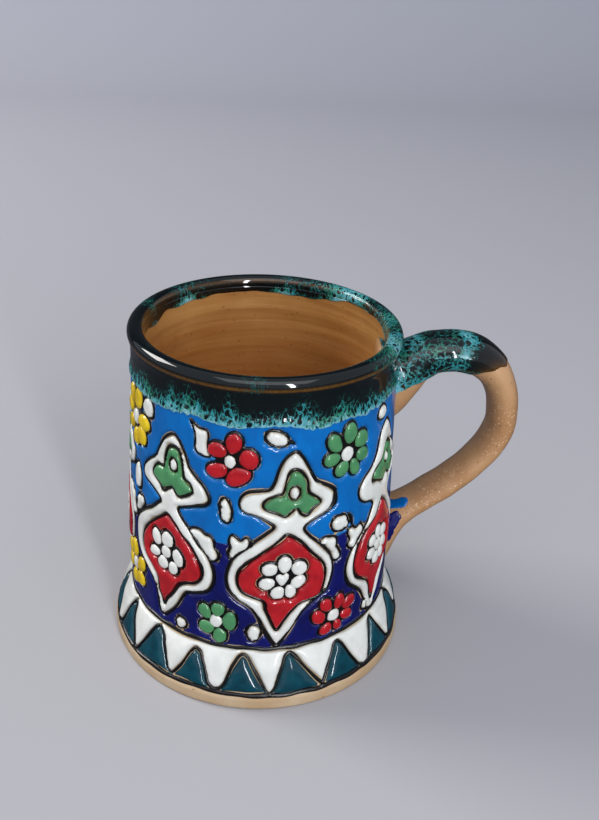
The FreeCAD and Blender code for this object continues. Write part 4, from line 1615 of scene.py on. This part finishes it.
@dataclass
class Ornament:
    """Everything drawn on the wall above the skirt, and the enamels that fill it."""

    finishes: Finishes
    sky_edge: float = 54.3
    glaze_edge: float = 92.4
    foot_line: float = 18.35
    foot_half: float = 0.72

    def __post_init__(self) -> None:
        """Draws all the lines; nothing is made yet."""
        self.rng = np.random.default_rng(7)
        self.medallions = self.draw_medallions()
        self.rosettes = self.draw_rosettes()
        self.blobs = self.draw_blobs()
        self.smears = self.draw_smears()
        self.foot_mark = self.band(self.foot_line, self.foot_half)

    def draw_medallions(self) -> list[Medallion]:
        """Draws the three medallions that face the viewer and the four behind.

        Returns:
            The medallions.
        """
        rng = self.rng
        far_outline = moved(MIDDLE_OUTLINE[:22], 36.35)
        far_heart = moved(MIDDLE_HEART[:11], 36.0)
        right_trefoil = [(x + 37.0, z - 2.0 if z > 74 else z) for x, z in MIDDLE_TREFOIL]
        right_seed = [(x + 35.6, z - 1.0) for x, z in HEART_SEED]
        medallions = [
            Medallion(drawn(LEFT_OUTLINE, rng, 0.6), drawn(LEFT_HEART, rng, 0.55),
                      drawn(LEFT_TREFOIL, rng, 0.55),
                      drawn(oval((-26.9, 74.4), 1.5, 2.1), rng, 0.42),
                      ovals(LEFT_PETALS, rng), drawn(oval((-29, 45), 1.7, 1.9), rng, 0),
                      [drawn(FAR_LEFT_LUMP, rng, 0.5), drawn(LEFT_LUMP, rng, 0.5)]),
            Medallion(drawn(MIDDLE_OUTLINE, rng, 0.6), drawn(MIDDLE_HEART, rng, 0.55),
                      drawn(MIDDLE_TREFOIL, rng, 0.55),
                      drawn(oval((9.6, 70.9), 1.6, 2.1), rng, 0.42),
                      ovals(MIDDLE_PETALS, rng), drawn(HEART_SEED, rng, 0, 0.3),
                      [drawn(MIDDLE_LUMP, rng, 0.5), drawn(RIGHT_LUMP, rng, 0.5)]),
            Medallion(drawn([*RIGHT_OUTLINE_NEAR, *far_outline], rng, 0.6),
                      drawn([*RIGHT_HEART_NEAR, *far_heart], rng, 0.55),
                      drawn(right_trefoil, rng, 0.55),
                      drawn(oval((46.6, 70.6), 1.5, 2.0), rng, 0.42),
                      ovals(RIGHT_PETALS, rng), drawn(right_seed, rng, 0, 0.3),
                      [drawn(FAR_RIGHT_LUMP, rng, 0.5)]),
        ]
        outline, heart, trefoil, petals, seed, lump = (
            moved(table, -7) for table in (MIDDLE_OUTLINE, MIDDLE_HEART, MIDDLE_TREFOIL,
                                           MIDDLE_PETALS, HEART_SEED, MIDDLE_LUMP))
        for number, turn in enumerate(BACK_TURNS):
            move = {"shift": along_of(turn), "mirror": number % 2 == 0}
            lumps = [lump, moved(LEFT_LUMP, 29.35)] if number else [lump]
            medallions.append(Medallion(
                drawn(outline, rng, 0.6, unsteady=0.18, **move),
                drawn(heart, rng, 0.55, unsteady=0.15, **move),
                drawn(trefoil, rng, 0.55, unsteady=0.12, **move),
                drawn(oval((2.6, 70.9), 1.6, 2.1), rng, 0.42, **move),
                ovals(petals, rng, **move),
                drawn(seed, rng, 0, 0.3, **move),
                [drawn(item, rng, 0.5, unsteady=0.1, **move) for item in lumps]))
        return medallions

    def draw_rosettes(self) -> list[Rosette]:
        """Draws the rosettes in the gaps between the medallions.

        Returns:
            The rosettes.
        """
        spots = [
            (Hue.RED, RED_TOP, (-8.8, 80.2, 1.6, 1.8), 0.0),
            (Hue.GREEN, GREEN_TOP, (25.7, 79.8, 2.1, 2.2), 0.0),
            (Hue.YELLOW, YELLOW_TOP, (-46.9, 81, 2.2, 2.2), 0.0),
            (Hue.GREEN, GREEN_FOOT, (-12.0, 27, 1.8, 2.1), 0.0),
            (Hue.RED, RED_FOOT, (23.7, 26, 2.0, 2.0), 0.0),
            (Hue.YELLOW, YELLOW_FOOT, (-47.4, 30, 1.9, 2.0), 0.0),
        ]
        # At the back, each gap has one rosette above and one below, by hue, petals and middle.
        behind = (
            ((Hue.RED, RED_TOP, -8.2), (Hue.GREEN, GREEN_FOOT, -11.8)),
            ((Hue.GREEN, GREEN_TOP, 26.0), (Hue.YELLOW, YELLOW_FOOT, -47.5)),
            ((Hue.RED, RED_FOOT, 24.0), (Hue.GREEN, GREEN_TOP, 26.0)),
        )
        for turn, pair in zip(GAP_TURNS, behind):
            for (hue, petals, middle), height in zip(pair, (80.4, 27.2)):
                level = np.mean([row[1] for row in petals])
                rows = [(row[0] - middle, row[1] - level + height, *row[2:]) for row in petals]
                spots.append((hue, rows, (0.2, height, 2.0, 2.0), along_of(turn)))
        return [Rosette(hue, ovals(petals, self.rng, shift, inward=0.7),
                        drawn(oval(centre[:2], *centre[2:]), self.rng, 0, 0.36, shift, 0.06))
                for hue, petals, centre, shift in spots]

    def draw_blobs(self) -> list[Mark]:
        """Draws the loose white drops between the larger motifs, and the leaf.

        Returns:
            Their lines.
        """
        rows = [
            (-9.8, 64.8, 1.8, 3.9, 8), (4.0, 87.7, 3.4, 2.3, -22), (24.4, 58.0, 3.3, 2.6, -20),
            (41.6, 87, 2.6, 2.3, 0), (-44.9, 62.7, 2.6, 4.6, 0), (-23.7, 21.8, 2.0, 2.3, 0),
            (-0.9, 24, 2.1, 3.1, 0), (-38.4, 87.4, 3.2, 3.2, 0), (37.5, 22.5, 1.4, 2.0, 0),
        ]
        for turn in GAP_TURNS:
            middle = along_of(turn)
            rows += [(middle, 64.5, 1.8, 3.6, 0), (middle - 8.5, 87.4, 2.4, 2.0, -20),
                     (middle + 10.6, 22.8, 1.7, 2.1, 0)]
        drops = [drawn(oval(row[:2], *row[2:]), self.rng, 0.5, unsteady=0.1) for row in rows]
        return [*drops, drawn(LEAF, self.rng, 0.4)]

    def draw_smears(self) -> list[Mark]:
        """Draws the short strokes where the line's glaze ran.

        Returns:
            The strokes.
        """
        smears = []
        for corners, half in SMEARS:
            path = spaced(np.array(corners), 0.3, False)
            part = np.linspace(-1, 1, len(path))
            smears.append(Mark(path, half * np.sqrt(1.05 - part ** 2), False))
        return smears

    def band(self, height: float, half: float) -> Mark:
        """Draws a line round the whole wall, with both ends at the seam.

        Args:
            height: The line's height.
            half: Its mean half width.

        Returns:
            The line.
        """
        path = spaced(np.array([[SEAM - GIRTH, height], [SEAM, height]]), 0.5, False)
        way = wander(len(path), self.rng, 30)
        path[:, 1] += 0.12 * way - 0.12 * way[0]
        path[-1, 1] = path[0, 1]
        return Mark(path, half * np.clip(1 + 0.12 * wander(len(path), self.rng, 40), 0.7, 1.4),
                    False)

    def build(self) -> list[bpy.types.Object]:
        """Lays the lines, then the enamels between them.

        Returns:
            The pieces laid.
        """
        return [self.lines(), *self.grounds(), *self.medallion_enamels(),
                *self.rosette_enamels()]

    def lines(self) -> bpy.types.Object:
        """Lays the raised dark lines round every motif.

        Returns:
            The lines, as one piece.
        """
        marks = [mark for item in self.medallions for mark in item.marks()]
        return lay("drawn_lines", line_flat([*marks, *self.blobs, *self.smears]), "outline",
                   self.finishes.line, rise=0.62, edge=0.6)

    def grounds(self) -> list[bpy.types.Object]:
        """Lays the light blue and navy grounds, which meet at a wavering edge.

        Returns:
            The two grounds.
        """
        holes = [item.outline for item in self.medallions]
        holes += [lump for item in self.medallions for lump in item.shoulders]
        holes += self.blobs
        holes += [mark for item in self.rosettes for mark in item.ground(0.8)]
        window = np.array([[SEAM - GIRTH, self.foot_line], [SEAM, self.glaze_edge]])
        seam = spaced(np.array([[SEAM - GIRTH, self.sky_edge], [SEAM, self.sky_edge]]), 0.5,
                      False)
        seam[:, 1] += 0.5 * wander(len(seam), self.rng, 30)
        seam[-1, 1] = seam[0, 1]

        def open_ground(spots: np.ndarray) -> np.ndarray:
            """Tells which spots no motif covers."""
            return ~within_any([mark.path for mark in holes], spots) & in_box(window, spots)

        flat = enamel_flat([*holes, *self.smears, self.foot_mark], open_ground, self.rng,
                           bare=-0.12, stray=0.17, spacing=0.6, window=window, seams=[seam])
        centres = flat.centres()
        above = centres[:, 1] > np.interp(centres[:, 0], seam[:, 0], seam[:, 1])
        fin = self.finishes
        shape = {"rise": 0.7, "edge": 1.1, "swell": 0.08}
        return [lay("light_blue_ground", flat.part(above), "light_blue_enamel", fin.sky, **shape),
                lay("navy_ground", flat.part(~above), "navy_enamel", fin.navy, **shape)]

    def medallion_enamels(self) -> list[bpy.types.Object]:
        """Lays the white, red and green enamels of the medallions, and all white drops.

        Returns:
            The enamels and the flowers' dark ground.
        """
        white, red, green, petals, grounds, small = [], [], [], [], [], []
        rng, fin = self.rng, self.finishes
        for item in self.medallions:
            outline, heart, trefoil = (mark.path for mark in
                                       (item.outline, item.heart, item.trefoil))
            white.append(enamel_flat(
                [item.outline, item.heart, item.trefoil],
                lambda spots: within(outline, spots) & ~within(heart, spots)
                & ~within(trefoil, spots), rng, bare=-0.16, stray=0.17, spacing=0.5))
            bed = bed_of(item.petals, item.seed, 0.85)
            paths = [mark.path for mark in bed]
            red.append(enamel_flat(
                [item.heart, *bed], lambda spots: within(heart, spots)
                & ~within_any(paths, spots), rng, bare=-0.13, stray=0.18, spacing=0.5))
            grounds.append(covered(bed, rng))
            dot = item.dot.path
            green.append(enamel_flat(
                [item.trefoil, item.dot], lambda spots: within(trefoil, spots)
                & ~within(dot, spots), rng, bare=-0.16, stray=0.18, spacing=0.45))
            petals += [self.filled(grown(mark, 0.34), 0.0) for mark in [*item.petals, item.seed]]
            small += [self.filled(mark, -0.2) for mark in [item.dot, *item.shoulders]]
        small += [self.filled(mark, -0.2) for mark in self.blobs]
        return [
            lay("medallion_enamel", joined(white), "white_enamel", fin.white, rise=1.05,
                edge=1.5, swell=0.07),
            lay("heart_enamel", joined(red), "red_enamel", fin.red, rise=1.15, edge=1.5,
                swell=0.08),
            lay("trefoil_enamel", joined(green), "green_enamel", fin.green, rise=1.1, edge=1.4,
                swell=0.06),
            lay("flower_ground", joined(grounds), "outline", fin.line, rise=0.6, edge=0.7),
            lay("flower_enamel", joined(petals), "white_enamel", fin.white, rise=1.3, edge=1.5),
            lay("white_drops", joined(small), "white_enamel", fin.white, rise=1.05, edge=1.4),
        ]

    def filled(self, mark: Mark, bare: float) -> Flat:
        """The area inside one closed line."""
        return enamel_flat([mark], lambda spots: within(mark.path, spots), self.rng, bare,
                           abs(bare) * 0.8, 0.45)

    def rosette_enamels(self) -> list[bpy.types.Object]:
        """Lays the rosettes' petals by colour, their centres and their dark ground.

        Returns:
            The enamels and the ground.
        """
        fin, made = self.finishes, []
        for hue in Hue:
            petals = [self.filled(grown(mark, 0.4), 0.0) for item in self.rosettes
                      if item.hue is hue for mark in item.petals]
            finish, slot = fin.petal(hue)
            made.append(lay(f"{hue.value}_petals", joined(petals), slot, finish, rise=1.25,
                            edge=1.6))
        centres = [self.filled(grown(item.centre, 0.3), 0.0) for item in self.rosettes]
        beds = [covered(item.ground(0.95), self.rng) for item in self.rosettes]
        return [*made,
                lay("rosette_centres", joined(centres), "white_enamel", fin.white, rise=1.2,
                    edge=1.6),
                lay("rosette_ground", joined(beds), "outline", fin.line, rise=0.5, edge=0.7)]


@dataclass
class Sawtooth:
    """The border of teal and white teeth on the flared skirt, between two dark lines."""

    ornament: Ornament
    low: float = 4.95
    low_half: float = 0.6
    # How much closer the twelve teeth at the back stand.
    closer: float = 0.983

    def zigzag(self) -> Mark:
        """Draws the line between the two rows of teeth, with its ends at the seam.

        Returns:
            The line.
        """
        seen = np.array(ZIGZAG)
        run = (seen[-1, 0] - seen[0, 0]) * self.closer
        back = (seen - seen[0]) * [self.closer, 1] + seen[0]
        once = np.vstack([back - [2 * run, 0], (back - [run, 0])[1:], seen[1:]])
        path = spaced(np.vstack([once, once[1:] + [GIRTH, 0]]), STEP, False)
        for _ in range(2):
            path[1:-1] += (path[:-2] + path[2:] - 2 * path[1:-1]) / 4
        start, end = SEAM - GIRTH, SEAM
        height = float(np.interp(end, path[:, 0], path[:, 1]))
        inner = path[(path[:, 0] > start + 0.2) & (path[:, 0] < end - 0.2)]
        path = np.vstack([[[start, height]], inner, [[end, height]]])
        half = 0.55 * np.clip(1 + 0.18 * wander(len(path), np.random.default_rng(19), 60),
                              0.6, 1.4)
        return Mark(path, half, False)

    def build(self) -> list[bpy.types.Object]:
        """Lays the border's lines and its teeth.

        Returns:
            The lines, the white teeth and the teal teeth.
        """
        rng = np.random.default_rng(23)
        zigzag = self.zigzag()
        marks = [zigzag, self.ornament.band(self.low, self.low_half), self.ornament.foot_mark]
        fin = self.ornament.finishes
        window = np.array([[SEAM - GIRTH, self.low], [SEAM, self.ornament.foot_line]])
        flat = enamel_flat(marks, lambda spots: in_box(window, spots), rng, bare=-0.14,
                           stray=0.17, spacing=0.5, window=window)
        centres = flat.centres()
        above = centres[:, 1] > np.interp(centres[:, 0], zigzag.path[:, 0], zigzag.path[:, 1])
        return [
            lay("border_lines", line_flat(marks), "outline", fin.line, rise=0.72, edge=0.65),
            lay("white_teeth", flat.part(above), "white_enamel", fin.white, rise=1.15, edge=2.2,
                swell=0.07),
            lay("teal_teeth", flat.part(~above), "teal_enamel", fin.teal, rise=1.35, edge=3.2,
                swell=0.05),
        ]


# The room round it.


@dataclass
class Studio:
    """A pale seamless sweep, a soft lamp at the left and a tall window in front."""

    sweep_tone: str = "#acabae"
    far_tone: str = "#b8b9c1"
    gloss_tone: str = "#4b4b52"
    room_tone: str = "#cfd4e2"
    room_light: float = 0.62
    # The sweep's front edge, the start and radius of its bend, its top and half its width.
    front: float = -900
    bend_start: float = 900
    bend_radius: float = 500
    top: float = 2200
    half_width: float = 1600
    # A hair below the foot, so that the two never lie in one plane.
    drop: float = 0.05
    # The viewer's place in mm, and the ways that lie to the right, up and ahead.
    eye: tuple = (-13.279, -253.386, 211.751)
    right: tuple = (0.99646995, -0.07073703, 0.04520955)
    up: tuple = (-0.00635468, 0.47342666, 0.88081032)
    ahead: tuple = (0.08370931, 0.87798831, -0.47130593)
    lens: float = 41.96

    def build(self) -> None:
        """Makes the sweep, the lights and the camera."""
        self.sweep()
        self.lights()
        self.camera()

    def sweep(self) -> None:
        """The floor, which curves up into the backdrop."""
        turn = np.radians(np.linspace(0, 90, 24))
        curve = np.stack([self.bend_start + self.bend_radius * np.sin(turn),
                          self.bend_radius - self.bend_radius * np.cos(turn)], 1)
        back = self.bend_start + self.bend_radius
        profile = np.vstack([[[self.front, 0]], curve, [[back, self.top]]]) - [0, self.drop]
        points = [(x, y, z) for y, z in profile for x in (-self.half_width, self.half_width)]
        faces = [(2 * row, 2 * row + 1, 2 * row + 3, 2 * row + 2)
                 for row in range(len(profile) - 1)]
        mesh = bpy.data.meshes.new("sweep")
        mesh.from_pydata((np.array(points) * MM).tolist(), [], faces)
        mesh.polygons.foreach_set("use_smooth", [True] * len(mesh.polygons))
        material, tree = new_material("backdrop_paper")
        place = add_node(tree, "ShaderNodeTexCoord", {}).outputs["Object"]
        # The paper is paler further back, so that the lamps need not reach it.
        axes = add_node(tree, "ShaderNodeSeparateXYZ", {0: place}).outputs
        far = add_node(tree, "ShaderNodeMapRange", {0: axes[1], "From Max": 1.2})
        colour = add_node(tree, "ShaderNodeMix", {
            0: far.outputs[0], 6: linear(self.sweep_tone), 7: linear(self.far_tone)},
            data_type="RGBA")
        # Glossy glazes see the paper dimmer, as a real room round a small sweep is.
        ray = add_node(tree, "ShaderNodeLightPath", {}).outputs["Is Glossy Ray"]
        seen = add_node(tree, "ShaderNodeMix", {
            0: ray, 6: colour.outputs[2], 7: linear(self.gloss_tone)}, data_type="RGBA")
        shader = add_node(tree, "ShaderNodeBsdfPrincipled", {
            "Base Color": seen.outputs[2], "Roughness": 0.9, "Specular IOR Level": 0.1})
        add_node(tree, "ShaderNodeOutputMaterial", {"Surface": shader.outputs[0]})
        mesh.materials.append(material)
        sweep = bpy.data.objects.new("sweep", mesh)
        bpy.context.scene.collection.objects.link(sweep)

    def lights(self) -> None:
        """A large soft lamp, a window in front and pale light all round."""
        middle = Vector((0, 0, 0.05))
        # Name, place in metres, width and height, power in watts, and colour.
        table = (
            ("soft_box", (-1.1, 0.42, 0.9), (0.6, 0.6), 13.5, (1.0, 0.98, 0.95)),
            ("fill", (0.0, -0.6, 1.0), (1.2, 0.8), 4.0, (0.97, 0.98, 1.0)),
            ("window", (0.3, -0.9, 0.44), (0.07, 0.8), 6.5, (0.93, 0.96, 1.0)),
        )
        for name, place, (wide, tall), power, tint in table:
            lamp = bpy.data.lights.new(name, "AREA")
            lamp.shape = "RECTANGLE"
            lamp.size, lamp.size_y = wide, tall
            lamp.energy = power
            lamp.color = tint
            holder = bpy.data.objects.new(name, lamp)
            holder.location = place
            holder.rotation_mode = "QUATERNION"
            holder.rotation_quaternion = (middle - Vector(place)).to_track_quat("-Z", "Y")
            bpy.context.scene.collection.objects.link(holder)
        world = bpy.data.worlds.new("room")
        world.use_nodes = True
        tree = world.node_tree
        tree.nodes.clear()
        glow = add_node(tree, "ShaderNodeBackground", {
            "Color": linear(self.room_tone), "Strength": self.room_light})
        add_node(tree, "ShaderNodeOutputWorld", {"Surface": glow.outputs[0]})
        bpy.context.scene.world = world

    def camera(self) -> None:
        """The viewer's place, found from the rim's and foot's ovals and the handle."""
        camera = bpy.data.cameras.new("viewer")
        camera.sensor_width = 36
        camera.lens = self.lens
        camera.clip_start, camera.clip_end = 0.01, 20
        holder = bpy.data.objects.new("viewer", camera)
        turn = Matrix((self.right, self.up, -Vector(self.ahead))).transposed()
        holder.matrix_world = Matrix.Translation(Vector(self.eye) * MM) @ turn.to_4x4()
        bpy.context.scene.collection.objects.link(holder)
        bpy.context.scene.camera = holder


def main() -> None:
    """Builds the mug and the room round it."""
    logging.basicConfig(level=logging.INFO, format="%(message)s")
    Studio().build()
    finishes = make_finishes()
    pot = Pot(finishes)
    pieces = pot.build()
    pieces += RimCoat(finishes, pot).build()
    pieces += Strap(finishes).build()
    ornament = Ornament(finishes)
    pieces += ornament.build()
    pieces += Sawtooth(ornament).build()
    bpy.context.scene.view_settings.view_transform = "Standard"
    for piece in pieces:
        LOG.info("%s: %d faces, %s", piece.name, len(piece.data.polygons),
                 piece.data.materials[0].name)
    LOG.info("%d pieces", len(pieces))


if __name__ == "__main__":
    main()
